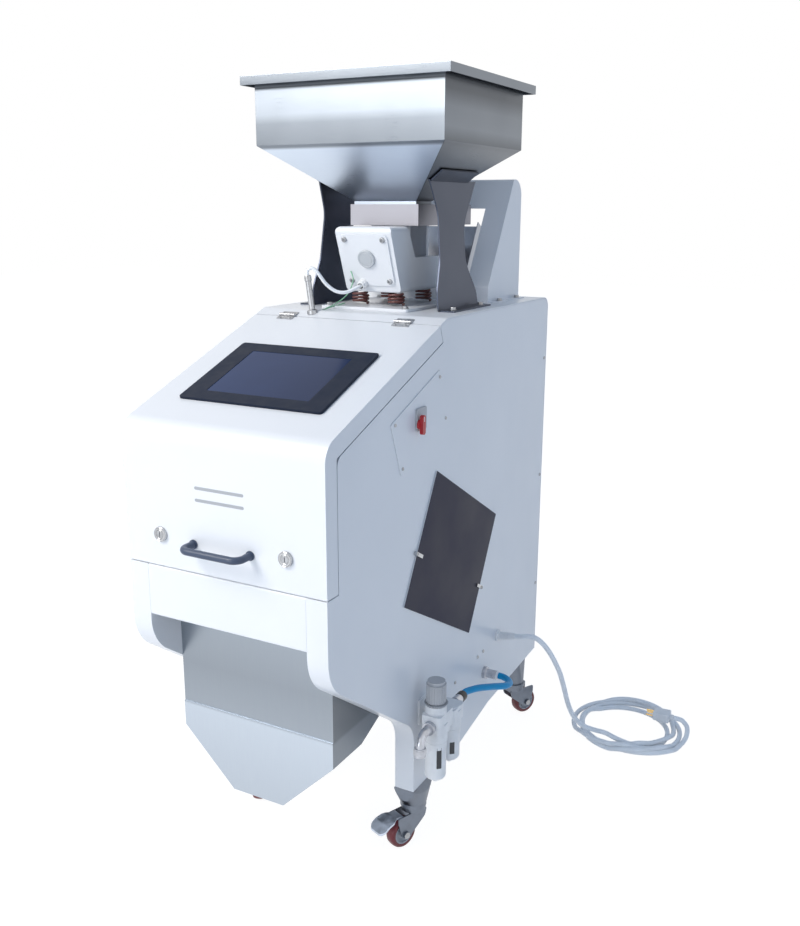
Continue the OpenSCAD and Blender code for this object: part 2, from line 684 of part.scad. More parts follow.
// Door
bezel_t = 5;
bezel_edge = 40;
glass_w = 216;
glass_h = 150;
lock_r = 11;
module door_skin() {
    color("white") difference() {
        across(body_w) polygon(band(door_line, door_depth));
        across(inner_w) polygon(band(trimmed(shifted(door_line, sheet), sheet), door_depth));
        on_slope(bezel_up + bezel_h / 2) translate([0, 0, -2 * sheet])
            plaque(bezel_w - bezel_edge, bezel_h - bezel_edge, 4 * sheet, 6);
        both_sides() {
            rod_y(lock_r + slack, 4 * sheet, [lock_span / 2, front_y - sheet, lock_z]);
            translate([lock_span / 2 - cam_slot, front_y + lock_body_l - 4, seam_z])
                cube([cam_slot + 2 * cam_half, cam_t + 8, 4 * sheet]);
        }
    }
}
module screen_bezel() {
    color("black") on_slope(bezel_up + bezel_h / 2) difference() {
        union() {
            plaque(bezel_w, bezel_h, bezel_t, 6);
            translate([0, 0, -18]) plaque(bezel_w - bezel_edge - 4, bezel_h - bezel_edge - 4, 18.5, 6);
        }
        translate([0, 0, bezel_t - 2]) plaque(glass_w, glass_h, bezel_t, 1);
    }
}
module screen_glass() {
    color("darkslategray") on_slope(bezel_up + bezel_h / 2) translate([0, 0, bezel_t - 2])
        plaque(glass_w, glass_h, 1.2, 1);
}
handle_out = 36;
handle_r = 16;
module handle_corner() {
    translate([handle_span / 2 - handle_r, -handle_out + handle_r, 0]) rotate([0, 0, -90])
        rotate_extrude(angle = 90) translate([handle_r, 0]) circle(d = handle_bar);
}
module door_handle() {
    color("darkslategray") translate([0, front_y, handle_z]) {
        rod_x(handle_bar / 2, handle_span - 2 * handle_r, [-handle_span / 2 + handle_r, -handle_out, 0]);
        both_sides() {
            handle_corner();
            rod_y(handle_bar / 2, handle_out - handle_r, [handle_span / 2, -handle_out + handle_r, 0]);
            rod_y(handle_bar / 2 + 2, 3, [handle_span / 2, -3, 0]);
        }
    }
}
lock_plug_r = 7;
lock_face_t = 5;
lock_body_l = 24;
cam_t = 3;
cam_l = 76;
cam_half = 8;
cam_slot = 60;
module lock_barrels() {
    color("silver") both_sides() translate([lock_span / 2, front_y, lock_z]) difference() {
        union() {
            rod_y(lock_r + 2.5, lock_face_t, [0, -lock_face_t, 0]);
            rod_y(lock_r, lock_body_l, [0, 0, 0]);
        }
        rod_y(lock_plug_r + running, lock_body_l + lock_face_t + 2 * over, [0, -lock_face_t - over, 0]);
    }
}
module lock_cam(s) {
    color("gray") translate([s * lock_span / 2, front_y, lock_z]) difference() {
        union() {
            rod_y(lock_plug_r, lock_body_l + lock_face_t, [0, -lock_face_t, 0]);
            translate([0, lock_body_l + slack, 0]) rotate([-90, 0, 0]) {
                rod(cam_half, cam_t);
                translate([s > 0 ? -cam_l : 0, -cam_half, 0]) cube([cam_l, 2 * cam_half, cam_t]);
            }
        }
        box(1.6, 4, 9, [0, -lock_face_t, -4.5]);
    }
}
module lock_cam_left() { lock_cam(-1); }
module lock_cam_right() { lock_cam(1); }

// Butt hinges of the door, with the pin fixed in the leaf on the deck
hinge_up = 3.2;
hinge_w = 36;
leaf_l = 15;
leaf_t = 2;
knuckle_r = 3.2;
hinge_pin_r = 1.6;
middle_w = 14;
knuckle_l = (hinge_w - middle_w) / 2 - slack;
hinge_axis = [hinge_y, slope_at(hinge_y) + hinge_up / cos(slope_a)];
module at_hinges() { for (s = [-1, 1]) translate([s * hinge_span / 2, hinge_axis[0], hinge_axis[1]])
    rotate([slope_a, 0, 0]) children(); }
module deck_hinges() {
    color("silver") at_hinges() {
        for (x = [-hinge_w / 2, middle_w / 2 + slack]) {
            rod_x(knuckle_r, knuckle_l, [x, 0, 0]);
            translate([x, door_gap, -hinge_up]) cube([knuckle_l, knuckle_r, leaf_t]);
        }
        translate([-hinge_w / 2, knuckle_r + 0.5, -hinge_up]) cube([hinge_w, leaf_l - knuckle_r, leaf_t]);
        rod_x(hinge_pin_r, hinge_w, [-hinge_w / 2, 0, 0]);
    }
}
module door_hinges() {
    color("silver") at_hinges() difference() {
        union() {
            rod_x(knuckle_r, middle_w, [-middle_w / 2, 0, 0]);
            translate([-middle_w / 2, -knuckle_r - 1, -hinge_up]) cube([middle_w, knuckle_r + 1, leaf_t]);
            translate([-hinge_w / 2, -leaf_l, -hinge_up]) cube([hinge_w, leaf_l - knuckle_r - 0.5, leaf_t]);
        }
        rod_x(hinge_pin_r + running, hinge_w, [-hinge_w / 2, 0, 0]);
    }
}

// Switch on the right side
switch_at = [-167, 895];
knob_axis = [-180, 887];
switch_base_t = 4;
lever_h = 11;
module switch_plate() {
    color("white") on_right(plate_at, slope_a) plaque(plate_l, plate_h, plate_t, 6);
}
module switch_base() {
    color("gray") on_right(switch_at) translate([0, 0, plate_t]) plaque(38, 42, switch_base_t, 4);
}
module switch_knob() {
    color("red") on_right(knob_axis) translate([0, 0, plate_t + switch_base_t + slack]) {
        rod(9, 5);
        translate([0, 0, 4]) plaque(11, 36, lever_h - 4, 5);
    }
}

// Window cover with two turn clips on its short edges
clip_w = 7;
clip_l = 30;
clip_v = -31;
clip_t = 3;
clip_boss_r = 4;
module window_cover() {
    color("darkslategray") on_right(cover_at, cover_a) plaque(cover_l, cover_h, cover_t, 2);
}
module window_clip(s) {
    clip_u = cover_l / 2 + clip_boss_r + 1;
    color("silver") on_right(cover_at, cover_a) translate([s * clip_u, clip_v, slack]) {
        rod(clip_boss_r, cover_t + clip_t);
        translate([s > 0 ? -clip_l + clip_boss_r : -clip_boss_r, -clip_w / 2, cover_t])
            cube([clip_l, clip_w, clip_t]);
    }
}
module window_clip_front() { window_clip(-1); }
module window_clip_rear() { window_clip(1); }

// Compressed-air filter unit: two heads on a wall bracket, with bowls and a regulator knob
filter_x = half_w + filter_out;
filter_y = [-168, -106];
filter_z = 298;
head_half = 25;
collar_r = 21;
head_low = 262;
bowl_low = [178, 189];
head_top = [336, 308];
module filter_unit() {
    color("whitesmoke") {
        for (i = [0, 1]) translate([filter_x, filter_y[i], 0]) {
            translate([0, 0, filter_z - 22]) plaque(42, 2 * head_half, i == 0 ? 44 : 30, 8);
            rod(collar_r, head_top[i] - filter_z, [0, 0, filter_z]);
            rod(collar_r + 2, filter_z - head_low, [0, 0, head_low]);
        }
        translate([filter_x, (filter_y[0] + filter_y[1]) / 2, filter_z - 18]) box(36, 13, 36);
        translate([half_w, (filter_y[0] + filter_y[1]) / 2 - 8, filter_z - 14]) cube([filter_out, 16, 28]);
        translate([half_w, filter_y[0] + 4, filter_z - 20]) cube([4, filter_y[1] - filter_y[0] - 8, 52]);
    }
}
module bowl(r, low, high) {
    rotate_extrude() polygon(concat([[0, high], [0, low]],
        [for (a = [-90:15:0]) [r - 9 + 9 * cos(a), low + 9 + 9 * sin(a)]], [[r, high]]));
}
module filter_bowls() {
    color("whitesmoke") for (i = [0, 1]) translate([filter_x, filter_y[i], 0]) {
        bowl(bowl_d / 2, bowl_low[i], head_low);
        rod(5, 9, [0, 0, bowl_low[i] - 8]);
    }
}
module regulator_knob() {
    color("silver") translate([filter_x, filter_y[0], head_top[0] + slack]) {
        rod(knob_d / 2, 44);
        rod(knob_d / 2 - 2, 50);
    }
}
inlet_y = filter_y[0] - head_half;
elbow_r = 22;
inlet_bore_r = 5;
inlet_nut_h = 18;
elbow_pipe = 8.5;
module air_inlet_elbow() {
    color("silver") translate([filter_x, inlet_y, filter_z]) difference() {
        union() {
            rod_y(13, 10, [0, -10, 0]);
            rod_y(elbow_pipe, 12, [0, -20, 0]);
            translate([0, -20, -elbow_r]) rotate([90, 0, -90]) rotate_extrude(angle = 90)
                translate([elbow_r, 0]) circle(elbow_pipe);
            rod(11, inlet_nut_h, [0, -20 - elbow_r, -elbow_r - inlet_nut_h]);
        }
        rod(inlet_bore_r, inlet_nut_h + over, [0, -20 - elbow_r, -elbow_r - inlet_nut_h - over]);
    }
}
outlet_port_y = filter_y[1] + head_half;
port_l = 34;
hose_gap = 0.9;
hose_start = [filter_x, outlet_port_y + port_l + hose_gap, filter_z];
bulkhead_out = 32;
hose_end = [half_w + bulkhead_out + hose_gap, bulkhead_at[0], bulkhead_at[1]];
module hose_fittings() {
    color("dimgray") {
        translate([filter_x, outlet_port_y, filter_z]) {
            rod_y(11, 12);
            rod_y(9.5, port_l);
        }
        rod_x(bulkhead_r, 10 + sheet, [half_w - sheet - 10, bulkhead_at[0], bulkhead_at[1]]);
        rod_x(bulkhead_r + 4, 8, [half_w, bulkhead_at[0], bulkhead_at[1]]);
        rod_x(bulkhead_r, bulkhead_out, [half_w, bulkhead_at[0], bulkhead_at[1]]);
    }
}
hose_route = [hose_start, hose_start + [0, 18, 0], [262, 8, 292], [276, 50, 280], [288, 92, 266],
    [287, 124, 257], [273, 148, 252], hose_end + [12, 0, 0], hose_end];
module air_hose() { color("dodgerblue") sweep(spline(hose_route, 40), hose_d / 2, 10); }

// Power cord: nut, tilted boot, free stretch down to the coil on the floor, and the plug on the coil
boot_l = 42;
boot_a = 9;
nut_t = 6;
module cord_gland() {
    color("white") translate([half_w, gland_at[0], gland_at[1]]) {
        rod_x(gland_r, sheet + 8, [-sheet - 8, 0, 0]);
        rod_x(gland_r + 4, nut_t);
        translate([nut_t - 3, 0, 0]) rotate([0, 90 - boot_a, 0])
            cylinder(r1 = gland_r, r2 = cord_d / 2 + 1.5, h = boot_l);
    }
}
cord_reach = boot_l + slack;
cord_exit = [half_w + nut_t - 3 + cord_reach * cos(boot_a), gland_at[0],
    gland_at[1] + cord_reach * sin(boot_a)];
coil_at = [450, 510];
coil_r = [88, 154];
coil_h = 2 * cord_d + 1;
coil_top = coil_h + cord_d / 2 + slack;
cord_route = [cord_exit, cord_exit + [14, 0, 2.2], [285, 232, 325], [302, 233, 325], [319, 236, 314],
    [333, 244, 293], [343, 258, 264], [350, 276, 230], [354, 296, 188], [357, 318, 142], [360, 342, 104],
    [365, 366, 74], [374, 388, coil_top + 20], [388, 404, coil_top + 7], [404, 411, coil_top + 2],
    [420, 415, coil_top]];
module power_cord() { color("white") sweep(spline(cord_route, 60), cord_d / 2, 10); }
module cord_coil() {
    color("white") translate([coil_at[0], coil_at[1], 0]) rotate_extrude() translate([coil_r[0], 0])
        square([coil_r[1] - coil_r[0], coil_h]);
}
plug_at = [527, 556];
plug_l = 40;
plug_w = 34;
plug_h = 24;
tail_r = 6;
tail_l = 10;
pin_l = 18;
module cord_plug() {
    color("white") translate([plug_at[0], plug_at[1], coil_h]) {
        rod_x(tail_r, plug_l / 2 + tail_l, [0, 0, plug_h / 2]);
        plaque(plug_l, plug_w, plug_h, 8);
        translate([-plug_l / 2 - pin_l, 0, plug_h / 2]) {
            for (y = [-10, 4]) translate([0, y, -4]) cube([pin_l + over, 6, 1.6]);
            translate([0, -0.8, 2]) cube([pin_l + over, 1.6, 6]);
        }
    }
}

// Casters: fixed head, swivelling fork with its axle, wheel, and a brake pedal in front
wheel_r = wheel_d / 2;
king_r = 5;
axle_r = 4;
fork_gap = wheel_w + 4;
cheek_t = 3;
crown_z = wheel_d + 8;
race_r = 25;
race_z = crown_z + cheek_t + 9;
head_r = 27;
rear_caster_y = rear_y - 38;
head_t = 9;
rear_head_z = tail_z - 4;
head_plate = [40, 60];
pedal_pin_r = 3;
pedal_hub_r = 5.5;
pedal_y = -trail - 8;
pedal_z = crown_z - 1;
pedal_l = 58;
pedal_t = 4;
module at_front(s) { translate([s * front_caster_x, front_caster_y, 0]) rotate(-s * front_turn) children(); }
module at_rear(s) { translate([s * rear_caster_x, rear_caster_y, 0]) rotate(180 - s * rear_turn) children(); }
module caster_head(top) {
    rod(king_r, race_z + 4 - crown_z + 8, [0, 0, crown_z - 8]);
    rod(king_r + 4, 4, [0, 0, crown_z - 8 - 4]);
    rod(head_r, head_t, [0, 0, race_z + slack]);
    hull() {
        translate([0, 0, race_z + head_t]) cylinder(r = head_r - 3, h = over, $fn = 32);
        translate([0, 0, top - 4]) plaque(head_plate[0], head_plate[1], 4, 8);
    }
}
module caster_mounts() {
    color("silver") for (s = [-1, 1]) {
        at_front(s) rotate(s * front_turn) caster_head(leg_z);
        at_rear(s) rotate(-180 + s * rear_turn) caster_head(rear_head_z);
    }
}
module fork(braked) {
    color("silver") difference() {
        union() {
            for (s = [-1, 1]) translate([s * (fork_gap + cheek_t) / 2, 0, 0]) across(cheek_t)
                polygon(closed([[22, crown_z + cheek_t, 3], [pedal_y - 10, crown_z + cheek_t, 3],
                    [pedal_y - 10, crown_z - 12, 5], [-trail - 11, wheel_r, 6], [-trail - 4, wheel_r - 11, 8],
                    [-trail + 8, wheel_r - 10, 8], [18, crown_z - 14, 14]]));
            translate([-fork_gap / 2, -18, crown_z]) cube([fork_gap, 40, cheek_t]);
            rod(race_r, race_z - crown_z - cheek_t, [0, 0, crown_z + cheek_t]);
        }
        rod(king_r + running, race_z, [0, 0, crown_z - over]);
    }
    color("gray") {
        if (braked) rod_x(pedal_pin_r, fork_gap + 2 * cheek_t, [-fork_gap / 2 - cheek_t, pedal_y, pedal_z]);
        rod_x(axle_r, fork_gap + 2 * cheek_t + 8, [-fork_gap / 2 - cheek_t - 4, -trail, wheel_r]);
        rod_x(axle_r + 3.5, 4, [fork_gap / 2 + cheek_t, -trail, wheel_r]);
        rod_x(axle_r + 3.5, 4, [-fork_gap / 2 - cheek_t - 4, -trail, wheel_r]);
    }
}
module fork_front_left() { at_front(-1) fork(true); }
module fork_front_right() { at_front(1) fork(true); }
module fork_rear_left() { at_rear(-1) fork(false); }
module fork_rear_right() { at_rear(1) fork(false); }
hub_r = wheel_r - 9;
module wheel() {
    translate([0, -trail, wheel_r]) rotate([0, 90, 0]) {
        color("lightgray") rotate_extrude() polygon([[axle_r + running, -wheel_w / 2 - 1],
            [9, -wheel_w / 2 - 1], [9, -6], [hub_r - 4, -6], [hub_r - 3, -wheel_w / 2 + 1],
            [hub_r, -wheel_w / 2 + 1],
            [hub_r, wheel_w / 2 - 1], [hub_r - 3, wheel_w / 2 - 1], [hub_r - 4, 6], [9, 6],
            [9, wheel_w / 2 + 1], [axle_r + running, wheel_w / 2 + 1]]);
        color("darkred") rotate_extrude() polygon([[hub_r, -wheel_w / 2 + 1], [wheel_r - 4, -wheel_w / 2],
            [wheel_r - 1, -wheel_w / 2 + 2], [wheel_r, -4], [wheel_r, 4], [wheel_r - 1, wheel_w / 2 - 2],
            [wheel_r - 4, wheel_w / 2], [hub_r, wheel_w / 2 - 1]]);
    }
}
module wheel_front_left() { at_front(-1) wheel(); }
module wheel_front_right() { at_front(1) wheel(); }
module wheel_rear_left() { at_rear(-1) wheel(); }
module wheel_rear_right() { at_rear(1) wheel(); }
pedal_plan = [[-fork_gap / 2 + slack, 0, 0], [-fork_gap / 2 + slack, -14, 6], [-21, -26, 8],
    [-23, -pedal_l, 12], [23, -pedal_l, 12], [21, -26, 8], [fork_gap / 2 - slack, -14, 6],
    [fork_gap / 2 - slack, 0, 0]];
pedal_line = [[0, pedal_hub_r], [-18, pedal_hub_r + 2, 12], [-40, pedal_hub_r - 4, 20],
    [-pedal_l - 4, pedal_hub_r - 18]];
module pedal() {
    color("dimgray") translate([0, pedal_y, pedal_z]) difference() {
        union() {
            rod_x(pedal_hub_r, fork_gap - 2 * slack, [-fork_gap / 2 + slack, 0, 0]);
            intersection() {
                across(2 * race_r) polygon(band(pedal_line, pedal_t));
                translate([0, 0, -pedal_l]) linear_extrude(2 * pedal_l) polygon(closed(pedal_plan));
            }
        }
        rod_x(pedal_pin_r + running, fork_gap + 2 * over, [-fork_gap / 2 - over, 0, 0]);
    }
}
module brake_pedal_left() { at_front(-1) pedal(); }
module brake_pedal_right() { at_front(1) pedal(); }

base_frame();
side_panel_right();
side_panel_left();
rear_panel();
top_deck();
lower_front_panel();
cross_bars();
slide_chute();
camera_boxes();
lamp_bars();
ejector_bar();
control_box();
outlet_chute();
splitter_plate();
hopper();
hopper_brackets();
chute_hood();
feeder_plate();
deck_hinges();
door_skin();
door_hinges();
screen_bezel();
screen_glass();
door_handle();
lock_barrels();
lock_cam_left();
lock_cam_right();
feeder_springs();
feeder_housing();
feeder_cover();
feeder_trough();
feeder_cable();
cable_mast();
switch_plate();
switch_base();
switch_knob();
window_cover();
window_clip_front();
window_clip_rear();
filter_unit();
filter_bowls();
regulator_knob();
air_inlet_elbow();
hose_fittings();
air_hose();
cord_gland();
power_cord();
cord_coil();
cord_plug();
caster_mounts();
fork_front_left();
fork_front_right();
fork_rear_left();
fork_rear_right();
wheel_front_left();
wheel_front_right();
wheel_rear_left();
wheel_rear_right();
brake_pedal_left();
brake_pedal_right();
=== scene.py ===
"""Dressed scene of a wheeled colour sorting machine: camera, light, finishes and modelled pieces."""

from __future__ import annotations

import json
import logging
import math
from dataclasses import dataclass
from enum import Enum
from typing import Callable, Iterable, Sequence

import bpy
from mathutils import Euler, Matrix, Vector


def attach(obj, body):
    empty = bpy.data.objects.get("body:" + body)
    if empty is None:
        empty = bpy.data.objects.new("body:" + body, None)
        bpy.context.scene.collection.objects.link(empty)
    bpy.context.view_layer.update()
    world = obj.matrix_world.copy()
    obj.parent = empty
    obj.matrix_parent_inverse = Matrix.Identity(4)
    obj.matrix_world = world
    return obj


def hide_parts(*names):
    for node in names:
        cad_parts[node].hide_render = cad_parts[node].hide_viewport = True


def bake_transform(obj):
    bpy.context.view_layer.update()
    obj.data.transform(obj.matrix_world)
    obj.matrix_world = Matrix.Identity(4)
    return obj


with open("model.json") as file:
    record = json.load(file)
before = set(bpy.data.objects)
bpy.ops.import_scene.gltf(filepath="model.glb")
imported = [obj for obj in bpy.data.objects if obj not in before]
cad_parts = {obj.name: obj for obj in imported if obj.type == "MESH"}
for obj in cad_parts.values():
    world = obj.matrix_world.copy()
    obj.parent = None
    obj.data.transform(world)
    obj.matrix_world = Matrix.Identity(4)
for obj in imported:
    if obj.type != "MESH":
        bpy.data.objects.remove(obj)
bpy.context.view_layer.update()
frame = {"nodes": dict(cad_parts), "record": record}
log = logging.getLogger("sorter")

SLOTS = {part["node"]: part["material_slot"] for part in frame["record"]["subparts"]}

Piece = bpy.types.Object
Material = bpy.types.Material
Socket = bpy.types.NodeSocket
Point = Sequence[float]
Colour = tuple[float, float, float]
MM = 0.001


def mm(*values: float) -> Vector:
    """Gives a point in metres from millimetres.

    Args:
        values: Three numbers in millimetres.

    Returns:
        The point as a vector in metres.
    """
    return Vector([v * MM for v in values])


def shift(*values: float) -> Matrix:
    """Gives the placing that moves by millimetres along each axis."""
    return Matrix.Translation(mm(*values))


class Grain(Enum):
    """The scale of brushing marks along each axis, on the faces across X and on the others."""

    LEVEL = ((1.0, 0.015, 1.0), (0.015, 1.0, 1.0))
    UPRIGHT = ((1.0, 1.0, 0.015), (1.0, 1.0, 0.015))


class Head(Enum):
    """Kinds of fastener heads."""

    PAN = "pan"
    HEX = "hex"
    SOCKET = "socket"


class Graph:
    """A material's node tree with one principled shader and short ways to add to it."""

    def __init__(self, name: str) -> None:
        """Starts a material that holds only its shader and output.

        Args:
            name: The material's name.
        """
        self.material = bpy.data.materials.new(name)
        self.material.use_nodes = True
        self.tree = self.material.node_tree
        self.tree.nodes.clear()
        self.shader = self.add("ShaderNodeBsdfPrincipled")
        output = self.add("ShaderNodeOutputMaterial")
        self.tree.links.new(self.shader.outputs[0], output.inputs["Surface"])
        where = self.add("ShaderNodeTexCoord")
        self.place, self.normal = where.outputs["Object"], where.outputs["Normal"]

    def add(self, kind: str, **inputs: object) -> bpy.types.Node:
        """Adds a node and fills its inputs.

        Args:
            kind: The node's type name.
            inputs: Values or output sockets by input name, with _ for a space.

        Returns:
            The new node.
        """
        node = self.tree.nodes.new(kind)
        for key, value in inputs.items():
            self.put(node.inputs[key.replace("_", " ")], value)
        return node

    def put(self, socket: Socket, value: object) -> None:
        """Joins a socket to an output, or sets its value.

        Args:
            socket: The input to fill.
            value: An output socket, or a plain value.
        """
        if isinstance(value, Socket):
            self.tree.links.new(value, socket)
        else:
            socket.default_value = value

    def fix(self, **inputs: object) -> None:
        """Sets inputs of the principled shader, with _ for a space."""
        for key, value in inputs.items():
            self.put(self.shader.inputs[key.replace("_", " ")], value)

    def noise(self, scale: float, detail: float = 3.0, stretch: Point = (1, 1, 1)) -> Socket:
        """Adds noise on object coordinates.

        Args:
            scale: Cells per metre.
            detail: Octaves of finer noise.
            stretch: Scale of each axis before the noise.

        Returns:
            The noise's value socket.
        """
        where = self.add("ShaderNodeMapping", Vector=self.place, Scale=tuple(stretch))
        node = self.add("ShaderNodeTexNoise", Vector=where.outputs[0], Scale=scale, Detail=detail)
        return node.outputs["Fac"]

    def between(self, value: Socket, low: float, high: float,
                start: float = 0.0, end: float = 1.0) -> Socket:
        """Maps a value from one range to another.

        Args:
            value: The socket to map.
            low: The result at start.
            high: The result at end.
            start: The value that gives low.
            end: The value that gives high.

        Returns:
            The result's socket.
        """
        node = self.add("ShaderNodeMapRange")
        for key, number in (("From Min", start), ("From Max", end), ("To Min", low), ("To Max", high)):
            node.inputs[key].default_value = number
        self.put(node.inputs["Value"], value)
        return node.outputs[0]

    def blend(self, share: Socket, first: object, second: object) -> Socket:
        """Mixes two colours.

        Args:
            share: The part of the second colour, from 0 to 1.
            first: A colour or its socket.
            second: A colour or its socket.

        Returns:
            The mixed colour's socket.
        """
        node = self.tree.nodes.new("ShaderNodeMix")
        node.data_type = "RGBA"
        self.put(node.inputs["Factor"], share)
        ends = [s for s in node.inputs if s.type == "RGBA"]
        self.put(ends[0], first)
        self.put(ends[1], second)
        return [o for o in node.outputs if o.type == "RGBA"][0]

    def mottle(self, value: Socket, colour: Colour, dark: float, light: float,
               start: float = 0.3, end: float = 0.7) -> Socket:
        """Varies a colour from a darker to a lighter shade by a value, and returns the colour socket."""
        share = self.between(value, 0.0, 1.0, start, end)
        return self.blend(share, shade(colour, dark), shade(colour, light))

    def maths(self, operation: str, first: object, second: object = 0.0) -> Socket:
        """Adds a maths node of two inputs.

        Args:
            operation: The node's operation.
            first: A number or its socket.
            second: A number or its socket.

        Returns:
            The result's socket.
        """
        node = self.tree.nodes.new("ShaderNodeMath")
        node.operation = operation
        self.put(node.inputs[0], first)
        self.put(node.inputs[1], second)
        return node.outputs[0]

    def facing(self, axis: str, start: float = 0.6, end: float = 0.75) -> Socket:
        """Gives 1 on faces that look along an axis and 0 elsewhere, with a soft change."""
        parts = self.add("ShaderNodeSeparateXYZ", Vector=self.normal)
        return self.between(self.maths("ABSOLUTE", parts.outputs[axis]), 0.0, 1.0, start, end)

    def bump(self, height: Socket, depth: float, strength: float) -> Socket:
        """Adds a bump of a depth in metres and returns its normal socket."""
        return self.add("ShaderNodeBump", Height=height, Distance=depth, Strength=strength).outputs[0]


def shade(colour: Colour, factor: float) -> tuple[float, float, float, float]:
    """Gives a colour made lighter or darker, with full alpha."""
    return tuple(min(1.0, c * factor) for c in colour) + (1.0,)


@dataclass(frozen=True)
class Coat:
    """Powder-coated sheet: satin, with a fine orange peel and faint handling marks."""

    name: str
    colour: Colour
    roughness: float = 0.34
    peel: float = 0.00006

    def make(self) -> Material:
        """Builds the material.

        Returns:
            The finished material.
        """
        g = Graph(self.name)
        cloud = g.noise(4.0, 4.0)
        smear = g.noise(26.0, 5.0, (1.0, 1.0, 0.35))
        g.fix(Base_Color=g.mottle(cloud, self.colour, 0.975, 1.01))
        g.fix(Roughness=g.between(smear, self.roughness - 0.05, self.roughness + 0.08, 0.35, 0.7))
        g.fix(Normal=g.bump(g.noise(900.0, 1.0), self.peel, 0.35), Coat_Weight=0.25, Coat_Roughness=0.25)
        return g.material


@dataclass(frozen=True)
class Brushed:
    """Bare sheet with fine brushing marks along it, cloudy from rolling and handling, with optional painted
    light: tones by height and by facing that paint highlight bands and shade.
    """

    name: str
    colour: Colour
    grain: Grain
    roughness: float = 0.3
    span: tuple[float, float] = (0.0, 1.0)
    # ahead and beside are painted light: tone stops by height for the faces not across X, and darker ones,
    # as painted shade, for the faces across X.
    ahead: tuple[tuple[float, float], ...] = ()
    beside: tuple[tuple[float, float], ...] = ()

    def painted_sheen(self, g: Graph, stops: tuple[tuple[float, float], ...]) -> Socket:
        """Gives a tone that changes with height, painted light: bands of painted highlight and painted
        shade.

        Args:
            g: The material's graph.
            stops: Shares of the height span with the tone at each.

        Returns:
            The tone's colour socket.
        """
        ramp = g.add("ShaderNodeValToRGB")
        height = g.add("ShaderNodeSeparateXYZ", Vector=g.place).outputs["Z"]
        g.put(ramp.inputs["Fac"], g.between(height, 0.0, 1.0, *self.span))
        marks = ramp.color_ramp.elements
        while len(marks) < len(stops):
            marks.new(0.5)
        for mark, (place, tone) in zip(marks, stops):
            mark.position, mark.color = place, (tone, tone, tone, 1.0)
        return ramp.outputs["Color"]

    def make(self) -> Material:
        """Builds the material.

        Returns:
            The finished material.
        """
        g = Graph(self.name)
        side, front = (g.noise(1600.0, 2.0, stretch) for stretch in self.grain.value)
        across = g.facing("X")
        marks = g.maths("ADD", g.maths("MULTIPLY", side, across),
                        g.maths("MULTIPLY", front, g.maths("SUBTRACT", 1.0, across)))
        cloud = g.noise(7.0, 4.0)
        tone = g.mottle(marks, self.colour, 0.97, 1.03, 0.25, 0.75)
        tone = g.blend(g.between(cloud, 0.0, 0.3, 0.4, 0.75), tone, shade(self.colour, 0.92))
        # Painted light: the tone is multiplied by painted highlight bands and painted shade by height,
        # darker on the faces across X.
        if self.ahead:
            turned = g.facing("X", 0.2, 0.4)
            painted_light_tone = g.blend(turned, self.painted_sheen(g, self.ahead), self.painted_sheen(g, self.beside))
            times = g.tree.nodes.new("ShaderNodeVectorMath")
            times.operation = "MULTIPLY"
            g.put(times.inputs[0], tone)
            g.put(times.inputs[1], painted_light_tone)
            tone = times.outputs[0]
        g.fix(Base_Color=tone, Metallic=1.0)
        rough = g.between(marks, self.roughness - 0.02, self.roughness + 0.03, 0.3, 0.7)
        g.fix(Roughness=g.maths("ADD", rough, g.between(cloud, -0.03, 0.04, 0.3, 0.7)))
        g.fix(Normal=g.bump(marks, 0.000008, 0.2))
        return g.material


@dataclass(frozen=True)
class Plated:
    """Zinc, nickel or chrome plate with a faint mottle."""

    name: str
    colour: Colour
    roughness: float = 0.22
    mottle: float = 120.0

    def make(self) -> Material:
        """Builds the material.

        Returns:
            The finished material.
        """
        g = Graph(self.name)
        spots = g.noise(self.mottle, 4.0)
        g.fix(Base_Color=g.mottle(spots, self.colour, 0.85, 1.08, 0.35, 0.65), Metallic=1.0)
        g.fix(Roughness=g.between(spots, self.roughness * 0.75, self.roughness * 1.5, 0.3, 0.7))
        g.fix(Normal=g.bump(g.noise(600.0, 2.0), 0.00004, 0.4))
        return g.material


@dataclass(frozen=True)
class Moulded:
    """Moulded plastic or rubber with a fine grain."""

    name: str
    colour: Colour
    roughness: float = 0.45
    grain: float = 0.00005
    scale: float = 1400.0
    gloss: float = 0.5

    def make(self) -> Material:
        """Builds the material.

        Returns:
            The finished material.
        """
        g = Graph(self.name)
        cloud = g.noise(40.0, 4.0)
        g.fix(Base_Color=g.mottle(cloud, self.colour, 0.93, 1.05))
        g.fix(Roughness=g.between(cloud, self.roughness - 0.05, self.roughness + 0.09, 0.3, 0.7))
        g.fix(Normal=g.bump(g.noise(self.scale, 2.0), self.grain, 0.5), Specular_IOR_Level=self.gloss)
        return g.material


@dataclass(frozen=True)
class Sheet:
    """A dark coated cover whose edge faces are painted pale as a painted highlight."""

    name: str
    colour: Colour
    edge: Colour

    def make(self) -> Material:
        """Builds the material.

        Returns:
            The finished material.
        """
        g = Graph(self.name)
        cloud = g.noise(9.0, 4.0)
        face = g.mottle(cloud, self.colour, 0.9, 1.08)
        # The faces not across X take the pale colour: a painted highlight along the cover's edges.
        g.fix(Base_Color=g.blend(g.facing("X"), self.edge + (1.0,), face), Specular_IOR_Level=0.16)
        g.fix(Roughness=g.between(cloud, 0.36, 0.48, 0.3, 0.7))
        g.fix(Normal=g.bump(g.noise(900.0, 1.0), 0.00004, 0.3))
        return g.material


